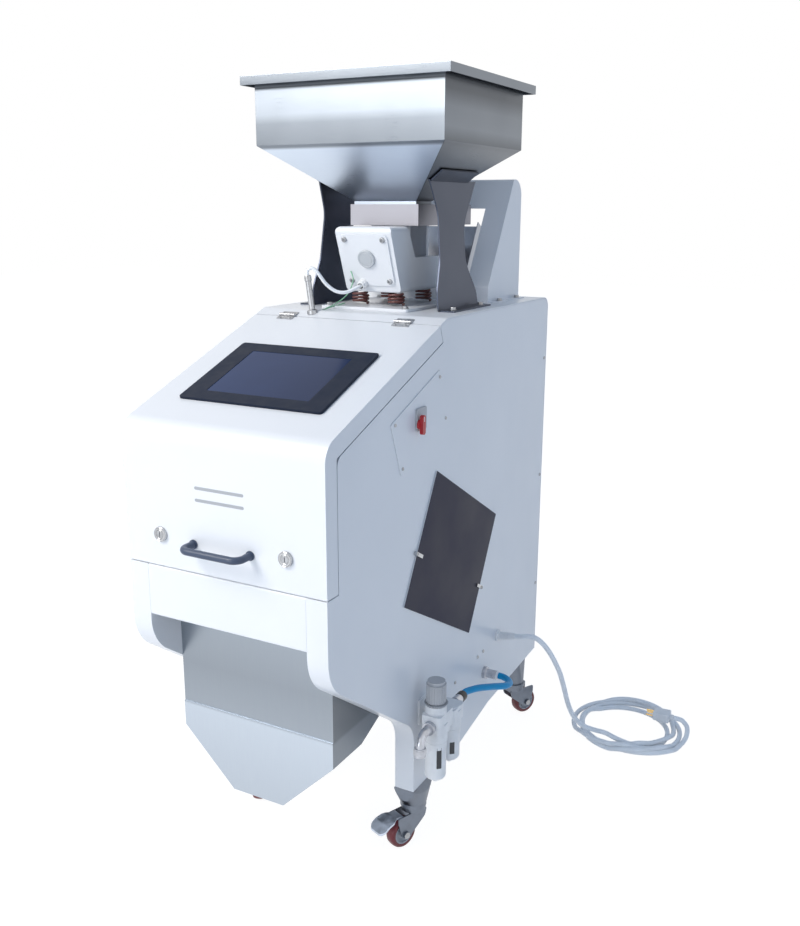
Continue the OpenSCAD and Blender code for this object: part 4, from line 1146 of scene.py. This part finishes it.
@dataclass
class PowerLead:
    """The power cord with its boot, its coil on the floor and its plug."""

    cord_d: float = 11.5
    gland: Point = (210.0, 232.0, 312.0)
    boot_a: float = 9.0
    boot_from: float = 3.0
    boot_l: float = 42.0
    coil_at: Point = (450.0, 510.0)
    turns: int = 3
    mean_r: float = 114.0
    swing: float = 17.0
    last_r: float = 144.0
    lie_z: float = 5.9
    climb: float = 0.25
    pace: float = 6.0
    turn_steps: int = 60
    before_tail: Point = (13.0, 36.0)
    plug_at: Point = (527.0, 556.0, 36.0)
    plug_size: Point = (40.0, 34.0, 24.0)
    pin_size: Point = (18.4, 6.0, 1.5)
    pin_x: float = -29.0
    pins: tuple[Point, ...] = ((0, -7, -3.2), (0, 7, -3.2), (90, 0, 5))
    nut_r: float = 15.0
    nut_h: float = 6.0
    ribs: int = 6
    rib_from: float = 7.0
    rib_step: float = 5.4
    rib_r: float = 9.6
    rib_fall: float = 0.36
    route: tuple[Point, ...] = (
        (254.78, 232, 318.62), (268.78, 232, 320.82), (285, 232, 325), (302, 233, 325), (319, 236, 314),
        (333, 244, 293), (343, 258, 264), (350, 276, 230), (354, 296, 188), (357, 318, 142), (360, 342, 104),
        (365, 366, 74), (374, 388, 50.05), (388, 404, 37.05), (404, 411, 32.05), (420, 415, 30.05))
    tail: tuple[Point, ...] = (
        (594.5, 498, 9), (598.1, 518, 18), (593.5, 540, 28), (579, 553.5, 35), (567, 556, 36),
        (557, 556, 36))

    def coil(self) -> list[Vector]:
        """Winds loose turns on the floor, from the end of the free stretch to the start of the tail.

        Returns:
            The points along the turns, in metres.
        """
        end, count = self.route[-1], self.turn_steps * self.turns
        start = math.atan2(end[1] - self.coil_at[1], end[0] - self.coil_at[0])
        last = math.atan2(self.tail[0][1] - self.before_tail[1] - self.coil_at[1],
                          self.tail[0][0] - self.before_tail[0] - self.coil_at[0])
        sweep = self.turns * math.tau + last - start
        first = math.hypot(end[1] - self.coil_at[1], end[0] - self.coil_at[0])
        points = []
        for k in range(1, count + 1):
            share = k / count
            angle = start + share * sweep
            radius = self.mean_r + self.swing * math.sin(0.62 * share * sweep - 1.2)
            radius += (first - radius) * max(0.0, 1 - 12 * share) ** 2
            radius += (self.last_r - radius) * max(0.0, 8 * share - 7) ** 2
            points.append(mm(self.coil_at[0] + radius * math.cos(angle),
                             self.coil_at[1] + radius * math.sin(angle), self.lie_z))
        return self.settle(Tube.even(points, self.pace * MM))

    def settle(self, points: list[Vector]) -> list[Vector]:
        """Lays each stretch over those nearer to the plug that it crosses, with an easy climb.

        Args:
            points: The turns, all at the height of the floor.

        Returns:
            The same points, lifted where they cross.
        """
        width, step = (self.cord_d + 0.2) * MM, self.climb * self.pace * MM
        for i in range(len(points) - 1, -1, -1):
            here = points[i]
            if i == 0:
                here.z = self.route[-1][2] * MM
            for there in points[i + 9:]:
                apart = (here.xy - there.xy).length
                if apart < width:
                    here.z = max(here.z, there.z + math.sqrt(width * width - apart * apart))
            if i + 1 < len(points):
                here.z = max(here.z, points[i + 1].z - step)
            for before, after in zip(points[i:], points[i + 1:]):
                if after.z >= before.z - step:
                    break
                after.z = before.z - step
        return points

    def cord(self, plug: Sequence[Piece]) -> None:
        """Makes the cord as one curve from the boot to the plug.

        Args:
            plug: The pieces at its far end; not used.
        """
        free = Tube.spline([mm(*p) for p in self.route], 90)
        wound = self.coil()
        tail = Tube.spline([wound[-2], wound[-1], *(mm(*p) for p in self.tail)], 42)[6:]
        path = Tube.even(free[:-1] + wound[:-1] + tail, self.pace * MM)
        cord = Tube.curve("power_cord_white", path, self.cord_d / 2 * MM)
        finish_piece(cord, "cabinet", "white_cord", stands_for=("power_cord", "cord_coil"))
        Tube.length(path)

    def plug(self) -> list[Piece]:
        """Models the moulded plug with its ribbed tail and its three pins.

        Returns:
            The body and the pins.
        """
        x, y, z = self.plug_at
        block = Forge.slab("plug_block", mm(*self.plug_size), (0, 0, 0))
        Forge.pick(block, lambda c, n: n.x < -0.9)
        bpy.ops.transform.resize(value=(1, 0.94, 0.9))
        bpy.ops.mesh.inset(thickness=0.004)
        bpy.ops.transform.translate(value=(-0.0001, 0, 0))
        Forge.pick(block, lambda c, n: n.x > 0.9)
        bpy.ops.mesh.inset(thickness=0.003)
        bpy.ops.transform.resize(value=(1, 0.7, 0.8))
        Forge.soften(block, 0.0035, 4, 30)
        tail = Forge.lathe("plug_tail", (
            (0, 0), (8.2, 0), (8.2, 2), (6.8, 3), (6.8, 4), (7.6, 5), (7.6, 6.5), (6.6, 7.5), (6.6, 8.5),
            (7, 9.3), (6.2, 10), (0, 10)))
        Forge.move(tail, facing(mm(19.8, 0, 0), (1, 0, 0)))
        body = Forge.move(Forge.join("plug_body", [block, tail]), shift(x, y, z))
        finish_piece(body, "cabinet", "white_plastic", stands_for=("cord_plug",))
        pins = []
        for turn, across, up in self.pins:
            pin = Forge.slab("pin", mm(*self.pin_size), mm(self.pin_x, 0, 0), 0.0004)
            spin = Matrix.Rotation(math.radians(turn), 4, "X")
            pins.append(Forge.move(pin, shift(x, y + across, z + up) @ spin))
        blades = Forge.join("plug_pins", pins)
        finish_piece(blades, "cabinet", "brass")
        return [body, blades]

    def boot(self) -> None:
        """Turns the gland's nut and the ribbed boot that tapers on to the cord."""
        x, y, z = self.gland
        nut = Forge.drum("gland_nut", self.nut_r * MM, self.nut_h * MM, 6)
        Forge.soften(nut, 0.0008, 2, 20)
        Forge.move(nut, facing(mm(x, y, z), (1, 0, 0)))
        profile = [(0.0, 0.0), (9.8, 0.0)]
        for k in range(self.ribs):
            at, wide = self.rib_from + self.rib_step * k, self.rib_r - self.rib_fall * k
            profile += [(wide, at), (wide - 1.1, at + 0.5), (wide - 1.1, at + 2.0), (wide - 0.3, at + 2.5)]
        profile += [(7.3, self.boot_l - 0.8), (6.6, self.boot_l), (0.0, self.boot_l)]
        boot = Forge.lathe("gland_boot", profile, 36, 50)
        tilt = math.radians(self.boot_a)
        Forge.move(boot, facing(mm(x + self.boot_from, y, z), (math.cos(tilt), 0, math.sin(tilt))))
        whole = Forge.join("cord_boot", [boot, nut])
        finish_piece(whole, "cabinet", "white_plastic", stands_for=("cord_gland",))

    def build(self) -> None:
        """Makes the plug, the cord and the boot."""
        self.cord(self.plug())
        self.boot()


@dataclass
class Cabinet:
    """The folded panels, the inner parts and the outlet."""

    half_w: float = 210.0
    edge: float = 0.8
    rear_screw_y: float = 469.3
    rear_screw_z: Point = (924.5, 640.0, 360.0)
    back_y: float = 483.0
    back_screw_x: float = 190.0
    back_screw_z: tuple[float, ...] = (220.0, 500.0, 780.0, 1040.0)

    def panels(self) -> None:
        """Rounds the folds of every panel."""
        for node in ("side_panel_right", "side_panel_left", "lower_front_panel", "top_deck", "rear_panel"):
            soft_copy(node, "cabinet", "white_coat", self.edge * MM)
        soft_copy("outlet_chute", "cabinet", "outlet_sheet", 0.0005)
        for node in ("splitter_plate", "slide_chute"):
            soft_copy(node, "cabinet", "stainless", 0.0005)

    def screws(self) -> None:
        """Puts the panel screws along the rear edge of each side and down the back."""
        places = [facing(mm(side * self.half_w, self.rear_screw_y, z), (side, 0, 0), 20 + z)
                  for side in (-1, 1) for z in self.rear_screw_z]
        places += [facing(mm(side * self.back_screw_x, self.back_y, z), (0, 1, 0), 35 + z)
                   for side in (-1, 1) for z in self.back_screw_z]
        Fasteners.row("panel_screws", Head.PAN, 0.004, places, "cabinet")

    def build(self) -> None:
        """Dresses the cabinet."""
        self.panels()
        self.screws()


@dataclass
class Door:
    """The door with its screen, handle, locks, hinges and stripes."""

    front_y: float = -483.0
    slope_foot: Point = (0.0, -483.0, 905.0)
    slope_a: float = 20.615
    stripe_x: Point = (-53.0, 50.0)
    stripe_z: Point = (806.6, 785.2)
    stripe_h: float = 5.5
    lock: Point = (132.0, 712.0)
    hinge_x: float = 131.0
    hinge_up: float = 422.7
    hinge_leaf: float = 9.0

    def on_slope(self, x: float, up: float, out: float) -> Vector:
        """Gives a point on the sloping face, by its place across, its way up and its height over it."""
        turn = Matrix.Rotation(math.radians(self.slope_a), 4, "X")
        return mm(*self.slope_foot) + turn @ mm(x, up, out)

    def skin(self) -> None:
        """Rounds the door's edges, the bezel and the handle."""
        soft_copy("door_skin", "door", "white_coat", 0.0009)
        soft_copy("screen_bezel", "door", "bezel_black", 0.0008)
        soft_copy("door_handle", "door", "slate_plastic", 0.0006)

    def stripes(self) -> None:
        """Lays two thin bars on the front, plain as they are."""
        low, high = self.stripe_x
        bars = []
        for z in self.stripe_z:
            half = self.stripe_h / 2
            ends = [(low + half, 90), (high - half, -90)]
            outline = [mm(x + half * math.cos(math.radians(start + 30 * k)), self.front_y + 0.1,
                          z + half * math.sin(math.radians(start + 30 * k)))
                       for x, start in ends for k in range(7)]
            bars.append(Forge.plate("stripe", outline + outline[:1], mm(0, -0.35, 0)))
        finish_piece(Forge.join("front_stripes", bars), "door", "stripe_grey")

    def locks(self) -> None:
        """Turns the chrome rings of the locks and rounds their plugs."""
        ring = Forge.lathe("lock_ring", (
            (7.15, 4.9), (7.9, 5.4), (9.0, 4.3), (11.2, 4.3), (12.2, 5.2), (13.4, 4.2), (13.7, 0.2),
            (7.15, 0.2), (7.15, 4.9)), 44, 30)
        x, z = self.lock
        places = [facing(mm(side * x, self.front_y, z), (0, -1, 0)) for side in (-1, 1)]
        rings = Forge.copies(ring, "lock_rings", places)
        finish_piece(rings, "door", "bright_chrome", stands_for=("lock_barrels",))
        for side in ("left", "right"):
            soft_copy("lock_cam_" + side, "lock_" + side, "zinc_steel", 0.0003)

    def hinges(self) -> None:
        """Rounds the hinge leaves and puts their screws in."""
        soft_copy("deck_hinges", "cabinet", "zinc_steel", 0.0003)
        soft_copy("door_hinges", "door", "zinc_steel", 0.0003)
        turn = math.radians(self.slope_a)
        out = (0, -math.sin(turn), math.cos(turn))
        for body, way in (("door", -1), ("cabinet", 1)):
            up = self.hinge_up + way * self.hinge_leaf
            places = [facing(self.on_slope(side * self.hinge_x + x, up, 2.0), out, 40 * x)
                      for side in (-1, 1) for x in (-11, 11)]
            Fasteners.row("hinge_screws_" + body, Head.PAN, 0.0032, places, body)

    def build(self) -> None:
        """Dresses the door."""
        self.skin()
        self.stripes()
        self.locks()
        self.hinges()


@dataclass
class Feeding:
    """The hopper, its brackets, the hood and the vibrating feeder on its springs."""

    plate_z: float = 1072.0
    feeder_z: float = 1099.0
    spring_at: tuple[Point, ...] = ((-42, 52), (42, 52), (-42, 172), (42, 172))
    spring_d: float = 31.0
    wire: float = 5.0
    turns: float = 3.0
    face_foot: Point = (0.0, 34.0, 1099.0)
    face_a: float = 110.5
    face_side: float = 108.0
    face_mid: float = 69.4
    cap_at: float = 73.4
    screw_step: float = 43.5
    bush_at: Point = (-18.0, 20.0)
    lead_d: float = 7.0
    wire_d: float = 2.2
    feet: tuple[tuple[float, Point, float], ...] = (
        (167, (58, 190), 1069.0), (162, (304, 404), 1068.0), (88, (4, 211), 1072.0))
    cover_r: float = 10.0
    cover_t: float = 3.0
    mast_foot: Point = (-84.0, -66.0, 1061.86)
    mast_tip: Point = (-94.3, -66.0, 1135.1)
    bush_tip: Point = (-18.0, 10.14, 1111.43)
    spring_steps: int = 28
    end_ease: float = 0.028
    lead_rise: tuple[Point, ...] = ((1.4, 0, -10), (0, 0, 0), (0, 0, 9), (8, 3, 14), (18, 8, 6))
    lead_sag: tuple[Point, ...] = ((-64, -46, 1118), (-50, -34, 1104), (-34, -22, 1101))
    lead_end: tuple[Point, ...] = ((-4, -10, -3), (0, 6, 2))
    wires: tuple[tuple[Point, ...], ...] = (
        ((-70, -40, 1068.5), (-58, -18, 1078), (-40, -4, 1096), (-30, 2, 1122), (-40, 12, 1138),
         (-47, 19.3, 1140)),
        ((-78, -40, 1065.5), (-70, -16, 1070), (-58, 6, 1075), (-62, 22, 1075)))

    def on_face(self, x: float, v: float, out: float = 0.0) -> Vector:
        """Gives a point on the vibrator's face, by its place across, its way up and its height over it."""
        turn = Matrix.Rotation(math.radians(self.face_a), 4, "X")
        return mm(*self.face_foot) + turn @ mm(x, v, out)

    def face_out(self) -> Vector:
        """Gives the way that the vibrator's face looks."""
        return Matrix.Rotation(math.radians(self.face_a), 4, "X") @ Vector((0, 0, 1))

    def sheets(self) -> None:
        """Rounds the folds of the hopper, its brackets, the hood, the trough and the housing."""
        soft_copy("hopper", "cabinet", "hopper_sheet", 0.0008)
        soft_copy("hopper_brackets", "cabinet", "bracket_sheet", 0.0006)
        soft_copy("chute_hood", "cabinet", "white_coat", 0.0008)
        soft_copy("feeder_plate", "cabinet", "white_coat", 0.0008)
        soft_copy("feeder_trough", "feeder", "trough_sheet", 0.0005)
        soft_copy("feeder_housing", "feeder", "white_coat", 0.0018)

    def bolts(self) -> None:
        """Bolts the feet of the brackets, the hood and the feeder's plate to the deck."""
        spots = [(side * x, y, z) for x, rows, z in self.feet for side in (-1, 1) for y in rows]
        places = [facing(mm(*spot), (0, 0, 1), 17 * k) for k, spot in enumerate(spots)]
        Fasteners.row("deck_bolts", Head.HEX, 0.006, places, "cabinet")

    def springs(self) -> None:
        """Winds the four springs, with their end turns closed."""
        half, count, coils = self.spring_d / 2, self.spring_steps * self.turns, []
        low, high = self.plate_z + self.wire / 2 + 0.1, self.feeder_z - self.wire / 2 - 0.1
        for x, y in self.spring_at:
            points = []
            for k in range(int(count) + 1):
                share = k / count
                climb = share + self.end_ease * math.sin(math.tau * share)
                angle = math.tau * self.turns * share
                points.append(mm(x + half * math.cos(angle), y + half * math.sin(angle),
                                 low + (high - low) * climb))
            coils.append(Tube.mesh("spring", points, self.wire / 2 * MM, 3))
        coil = Forge.join("feeder_coil_springs", coils)
        bend_piece(coil, "red_spring",
                   ("feeder_springs",))

    def cover(self) -> None:
        """Makes the plate on the vibrator's face with its cap, its bush and its screws."""
        half, round_r = self.face_side / 2, self.cover_r
        outline = []
        for start, sx, sy in ((0, 1, 1), (90, -1, 1), (180, -1, -1), (270, 1, -1)):
            for k in range(6):
                a = math.radians(start + 18 * k)
                outline.append(self.on_face(sx * (half - round_r) + round_r * math.cos(a),
                                            self.face_mid + sy * (half - round_r) + round_r * math.sin(a)))
        lift = self.face_out() * self.cover_t * MM
        plate = Forge.plate("vibrator_plate", outline + outline[:1], lift, 0.0009)
        finish_piece(plate, "feeder", "white_coat", stands_for=("feeder_cover",))
        cap = Forge.lathe("vibrator_cap", (
            (0, 2.8), (18.9, 2.8), (18.9, 6.4), (17.6, 7.9), (15.2, 8.0), (14.6, 7.3), (13.6, 7.3),
            (13.0, 7.9), (0, 7.9)), 48, 30)
        Forge.move(cap, facing(self.on_face(0, self.cap_at), self.face_out()))
        finish_piece(cap, "feeder", "grey_coat")
        bush = Forge.lathe("vibrator_bush", (
            (6.4, 17.9), (7.6, 17.9), (8.6, 16.6), (8.8, 11.0), (9.8, 10.4), (9.8, 3.0), (6.4, 3.0),
            (6.4, 17.9)), 12, 20)
        Forge.move(bush, facing(self.on_face(*self.bush_at), self.face_out()))
        finish_piece(bush, "feeder", "white_plastic")
        step = self.screw_step
        places = [facing(self.on_face(sx * step, self.face_mid + sy * step, self.cover_t), self.face_out(),
                         25 * sx + 40 * sy)
                  for sx in (-1, 1) for sy in (-1, 1)]
        Fasteners.row("vibrator_screws", Head.SOCKET, 0.006, places, "feeder")

    def leads(self) -> None:
        """Runs the lead from the mast to the bush, with two thin earth wires beside it."""
        tip, bush = Vector(self.mast_tip), Vector(self.bush_tip)
        route = [tip + Vector(d) for d in self.lead_rise]
        route += [Vector(p) for p in self.lead_sag]
        route += [bush + Vector(d) for d in self.lead_end]
        lead = Tube.mesh("vibrator_lead", Tube.spline([p * MM for p in route], 72), self.lead_d / 2 * MM, 5)
        bend_piece(lead, "white_cord",
                   ("feeder_cable",))
        for k, points in enumerate(self.wires):
            path = Tube.spline([mm(*p) for p in points], 40)
            wire = Tube.mesh("earth_wire_%d" % k, path, self.wire_d / 2 * MM, 3)
            if k == 0:
                bend_piece(wire, "earth_green")
            else:
                finish_piece(wire, "cabinet", "earth_green")

    def mast(self) -> None:
        """Turns the mast that holds the lead up, with its foot, its collar and its tip."""
        foot, tip = mm(*self.mast_foot), mm(*self.mast_tip)
        tall = (tip - foot).length / MM
        mast = Forge.lathe("lead_mast", (
            (0, -3), (10.8, -3), (10.8, 4.2), (9.6, 5.6), (7.4, 6), (6, 7.5), (6, tall - 12),
            (7.2, tall - 11), (7.2, tall - 3), (6, tall), (4.2, tall), (4.2, tall - 9),
            (0, tall - 9)), 28, 40)
        Forge.move(mast, facing(foot, tip - foot))
        finish_piece(mast, "cabinet", "zinc_steel", ("cable_mast",))

    def build(self) -> None:
        """Dresses everything that feeds the grain."""
        self.sheets()
        self.bolts()
        self.springs()
        self.cover()
        self.leads()
        self.mast()


@dataclass
class SideFittings:
    """The switch, the window cover with its clips, and small screws on the right side."""

    half_w: float = 210.0
    plate_out: float = 2.0
    plate_screws: tuple[Point, ...] = ((-262, 900), (-89, 960), (-234, 816), (-62, 877))
    clip_screws: tuple[Point, ...] = ((-182.2, 640.9), (121.6, 469.1))
    clip_out: float = 6.3
    panel_screws: tuple[Point, ...] = ((152, 305), (122, 303), (6, 293))
    knob_at: Point = (-180.0, 887.0)
    mark_x: float = 227.3
    mark_up: float = 10.5
    mark_size: Point = (0.4, 2.2, 9.0)

    def build(self) -> None:
        """Rounds the fittings and adds their screws."""
        soft_copy("switch_plate", "cabinet", "white_coat", 0.0005)
        soft_copy("switch_base", "cabinet", frame_slot("switch_base"), 0.0012)
        soft_copy("switch_knob", "switch", "red_plastic", 0.0014)
        soft_copy("window_cover", "cabinet", "slate_coat", 0.0007)
        soft_copy("window_clip_front", "clip_front", "bright_chrome", 0.0006)
        soft_copy("window_clip_rear", "clip_rear", "bright_chrome", 0.0006)
        places = [facing(mm(self.half_w + self.plate_out, y, z), (1, 0, 0), y) for y, z in self.plate_screws]
        Fasteners.row("switch_plate_screws", Head.PAN, 0.0034, places, "cabinet")
        places = [facing(mm(self.half_w, y, z), (1, 0, 0), y) for y, z in self.panel_screws]
        Fasteners.row("side_screws", Head.PAN, 0.004, places, "cabinet")
        for body, (y, z) in zip(("clip_front", "clip_rear"), self.clip_screws):
            place = facing(mm(self.half_w + self.clip_out, y, z), (1, 0, 0), z)
            Fasteners.row(body + "_screw", Head.SOCKET, 0.0034, [place], body)
        y, z = self.knob_at
        mark = Forge.slab("switch_mark", mm(*self.mark_size), mm(self.mark_x, y, z + self.mark_up), 0.00015)
        finish_piece(mark, "switch", "white_plastic")


@dataclass
class AirUnit:
    """The filter and regulator with bowls, elbow, fittings and the blue hose."""

    x: float = 252.0
    units: Point = (-168.0, -106.0)
    head_low: float = 262.0
    bowl_low: Point = (178.0, 189.0)
    bowl_r: float = 21.0
    knob_r: float = 19.5
    knob_z: Point = (336.3, 386.3)
    inlet_y: float = -235.0
    inlet_r: float = 10.6
    inlet_nut_r: float = 12.7
    inlet_nut_h: float = 11.0
    inlet_nut_z: float = 262.0
    hose_d: float = 14.5
    route: tuple[Point, ...] = (
        (252, -46.1, 298), (252, -28.1, 298), (262, 8, 292), (276, 50, 280), (288, 92, 266), (287, 124, 257),
        (273, 148, 252), (254.9, 160, 250), (242.9, 160, 250))
    sights: tuple[Point, ...] = ((230.0, 46.0, -44.0), (220.0, 26.0, -48.0))

    def bowls(self) -> None:
        """Turns the bowls, each with ribs at the top, a drain and a dark sight slot."""
        bowls, sights = [], []
        for y, low, (middle, tall, turn) in zip(self.units, self.bowl_low, self.sights):
            r, top = self.bowl_r, self.head_low
            profile = [(0, low - 8), (4.6, low - 8), (5, low - 7), (5, low - 1), (9, low)]
            profile += [(r - 9 + 9 * math.cos(math.radians(a)), low + 9 + 9 * math.sin(math.radians(a)))
                        for a in range(-75, 1, 15)]
            profile += [(r, top - 16), (r + 0.9, top - 15), (r + 0.9, top - 3), (r, top - 2), (r, top),
                        (0, top)]
            bowl = Forge.lathe("bowl", profile, 48, 40)
            bowls.append(Forge.move(bowl, shift(self.x, y, 0)))
            aim = Vector((math.cos(math.radians(turn)), math.sin(math.radians(turn)), 0))
            slot_at = mm(self.x, y, middle) + aim * (r - 0.8) * MM
            sight = Forge.slab("sight", mm(10, tall, 2.6), (0, 0, 0), 0.0009)
            sights.append(Forge.move(sight, facing(slot_at, aim)))
        finish_piece(Forge.join("filter_bowl_shells", bowls), "cabinet", frame_slot("filter_bowls"),
                     stands_for=("filter_bowls",))
        finish_piece(Forge.join("bowl_sights", sights), "cabinet", "sight_dark")

    def knob(self) -> None:
        """Cuts flutes into the regulator's knob."""
        low, high = self.knob_z
        knob = Forge.drum("regulator_grip", self.knob_r * MM, (high - low - 6) * MM, 72)
        Forge.pick(knob, lambda c, n: abs(n.z) < 0.1
                   and round(math.degrees(math.atan2(n.y, n.x)) / 5 - 0.5) % 3 == 0)
        bpy.ops.mesh.inset(thickness=0.00025, depth=-0.0009, use_individual=True)
        Forge.pick(knob, lambda c, n: n.z > 0.9)
        bpy.ops.mesh.inset(thickness=0.0022)
        bpy.ops.mesh.extrude_region_move(TRANSFORM_OT_translate={"value": (0, 0, 0.006)})
        bpy.ops.mesh.inset(thickness=0.006)
        bpy.ops.transform.translate(value=(0, 0, -0.0008))
        Forge.soften(knob, 0.0004, 2, 40)
        Forge.move(knob, shift(self.x, self.units[0], low))
        finish_piece(knob, "regulator", frame_slot("regulator_knob"), stands_for=("regulator_knob",))

    def fittings(self) -> None:
        """Rounds the heads, the elbow and the push-in fittings, and adds the hexagons and collars."""
        soft_copy("filter_unit", "cabinet", frame_slot("filter_unit"), 0.0014)
        soft_copy("air_inlet_elbow", "cabinet", frame_slot("air_inlet_elbow"), 0.0006)
        soft_copy("hose_fittings", "cabinet", frame_slot("hose_fittings"), 0.0008)
        nut = Forge.drum("inlet_nut", self.inlet_nut_r * MM, self.inlet_nut_h * MM, 6)
        hole = Forge.drum("bore", self.inlet_r * MM, 30 * MM, 48)
        Forge.move(hole, shift(0, 0, -5))
        Forge.cut(nut, hole)
        Forge.soften(nut, 0.0007, 2, 40)
        Forge.move(nut, shift(self.x, self.inlet_y, self.inlet_nut_z))
        finish_piece(nut, "cabinet", frame_slot("air_inlet_elbow"))
        collars = (("port_collar", self.route[0], (0, 1, 0), 10.6, 15.0, "black_plastic"),
                   ("bulkhead_collar", self.route[-1], (1, 0, 0), 9.6, 4.0, "white_plastic"))
        for name, at, axis, wide, back, finish in collars:
            bore = self.hose_d / 2 + 0.3
            collar = Forge.lathe(name, (
                (bore, 3.4), (wide - 1.6, 3.4), (wide - 0.8, 2.6), (wide - 0.8, 0.4), (wide, -0.6),
                (wide, -back + 1), (wide - 0.8, -back), (bore, -back), (bore, 3.4)), 40, 40)
            finish_piece(Forge.move(collar, facing(mm(*at), axis)), "cabinet", finish)

    def hose(self) -> None:
        """Makes the hose from the filter to the panel."""
        points = Tube.even(Tube.spline([mm(*p) for p in self.route], 96), 0.004)
        hose = Tube.curve("air_hose_blue", points, self.hose_d / 2 * MM, 6)
        finish_piece(hose, "cabinet", "blue_hose", stands_for=("air_hose",))
        Tube.length(points)

    def build(self) -> None:
        """Dresses the air unit."""
        self.hose()
        self.bowls()
        self.knob()
        self.fittings()


@dataclass
class Casters:
    """The four casters: heads, forks, wheels and the brake pedals of the front pair."""

    wheel_r: float = 31.5
    wheel_w: float = 24.0
    hub_r: float = 22.5
    trail: float = 33.0
    cheek_out: float = 17.0
    nut_r: float = 7.4
    nut_h: float = 4.8
    cup_r: float = 27.5
    cup_z: Point = (92.0, 135.8)
    cup_half: Point = (21.0, 40.0)
    cup_flare: Point = (34.0, 58.0)
    places: tuple[tuple[str, float, float, float], ...] = (
        ("front_left", -189, -140, 22), ("front_right", 189, -140, -22),
        ("rear_left", -172, 445, 208), ("rear_right", 172, 445, 152))

    def stand(self, x: float, y: float, turn: float) -> Matrix:
        """Gives the placing of a caster on its stem, turned about it."""
        return shift(x, y, 0) @ Matrix.Rotation(math.radians(turn), 4, "Z")

    def wheel(self, name: str, place: Matrix) -> None:
        """Turns a wheel: a round-shouldered tread on a dished hub.

        Args:
            name: The caster's name.
            place: The placing of the caster.
        """
        r, half, hub = self.wheel_r, self.wheel_w / 2, self.hub_r
        tread = [(hub, -half + 1), (r - 5, -half + 0.2), (r - 2.2, -half + 1.4), (r - 0.7, -half + 4),
                 (r, -3.5)]
        dish = [(4.1, -half - 0.9), (8.2, -half - 0.9), (9, -half + 0.2), (9.6, -6.8), (11, -6),
                (hub - 5, -6), (hub - 3.4, -7), (hub - 2.8, -half + 1.2), (hub - 0.1, -half + 1)]
        axle = place @ shift(0, -self.trail, r) @ Matrix.Rotation(math.pi / 2, 4, "Y")
        for part, profile, finish in (("tread", tread, "red_wheel"), ("hub", dish, "wheel_hub")):
            whole = profile + [(a, -b) for a, b in reversed(profile)] + profile[:1]
            obj = Forge.move(Forge.lathe("%s_%s" % (part, name), whole, 56, 40), axle)
            node = ("wheel_" + name,) if part == "tread" else ()
            finish_piece(obj, "roller_" + name, finish, node)

    def cup(self, name: str, x: float, y: float) -> None:
        """Shapes the cup of a front caster: round at the race and square under the leg.

        Args:
            name: The caster's name.
            x: The stem's place across, in millimetres.
            y: The stem's place along, in millimetres.
        """
        low, high = self.cup_z
        tall, (wide, deep) = high - low, self.cup_half
        cup = Forge.drum("cup_" + name, self.cup_r * MM, tall * MM, 64)
        Forge.pick(cup, lambda c, n: n.z > 0.9)
        flare = [half / self.cup_r for half in self.cup_flare]
        bpy.ops.transform.resize(value=(flare[0], flare[1], 1.0))
        for side in (-1, 1):
            for at, way in ((mm(side * wide, 0, tall), (side * tall, 0, self.cup_r - wide)),
                            (mm(0, side * deep, tall), (0, side, 0))):
                Forge.edit(cup)
                bpy.ops.mesh.bisect(plane_co=at, plane_no=way, use_fill=True, clear_outer=True)
        Forge.clear()
        Forge.soften(cup, 0.0016, 3, 30)
        Forge.move(cup, shift(x, y, low))
        finish_piece(cup, "cabinet", "caster_steel")

    def nuts(self, name: str, place: Matrix) -> None:
        """Puts a hexagon on each end of the axle.

        Args:
            name: The caster's name.
            place: The placing of the caster.
        """
        nut = Forge.drum("nut", self.nut_r * MM, self.nut_h * MM, 6)
        Forge.soften(nut, 0.0006, 2, 20)
        ends = [place @ facing(mm(side * self.cheek_out, -self.trail, self.wheel_r), (side, 0, 0), 10)
                for side in (-1, 1)]
        finish_piece(Forge.copies(nut, "axle_nuts_" + name, ends), "caster_" + name, "zinc_steel")

    def build(self) -> None:
        """Dresses the casters."""
        soft_copy("caster_mounts", "cabinet", "caster_steel", 0.0007)
        for name, x, y, turn in self.places:
            place = self.stand(x, y, turn)
            soft_copy("fork_" + name, "caster_" + name, "caster_steel", 0.0008)
            self.wheel(name, place)
            self.nuts(name, place)
            if name.startswith("front"):
                self.cup(name, x, y)
        for side in ("left", "right"):
            soft_copy("brake_pedal_" + side, "pedal_" + side, frame_slot("brake_pedal_" + side), 0.0011)


def dress_nodes() -> None:
    """Paints every CAD node with the finish of its slot."""
    for name, obj in frame["nodes"].items():
        Paint.put(obj, frame_slot(name))


def main() -> None:
    """Builds the scene."""
    logging.basicConfig(level=logging.INFO, format="%(message)s")
    Stage().build()
    PowerLead().build()
    dress_nodes()
    for part in (Cabinet(), Door(), Feeding(), SideFittings(), AirUnit(), Casters()):
        part.build()


if __name__ == "__main__":
    main()
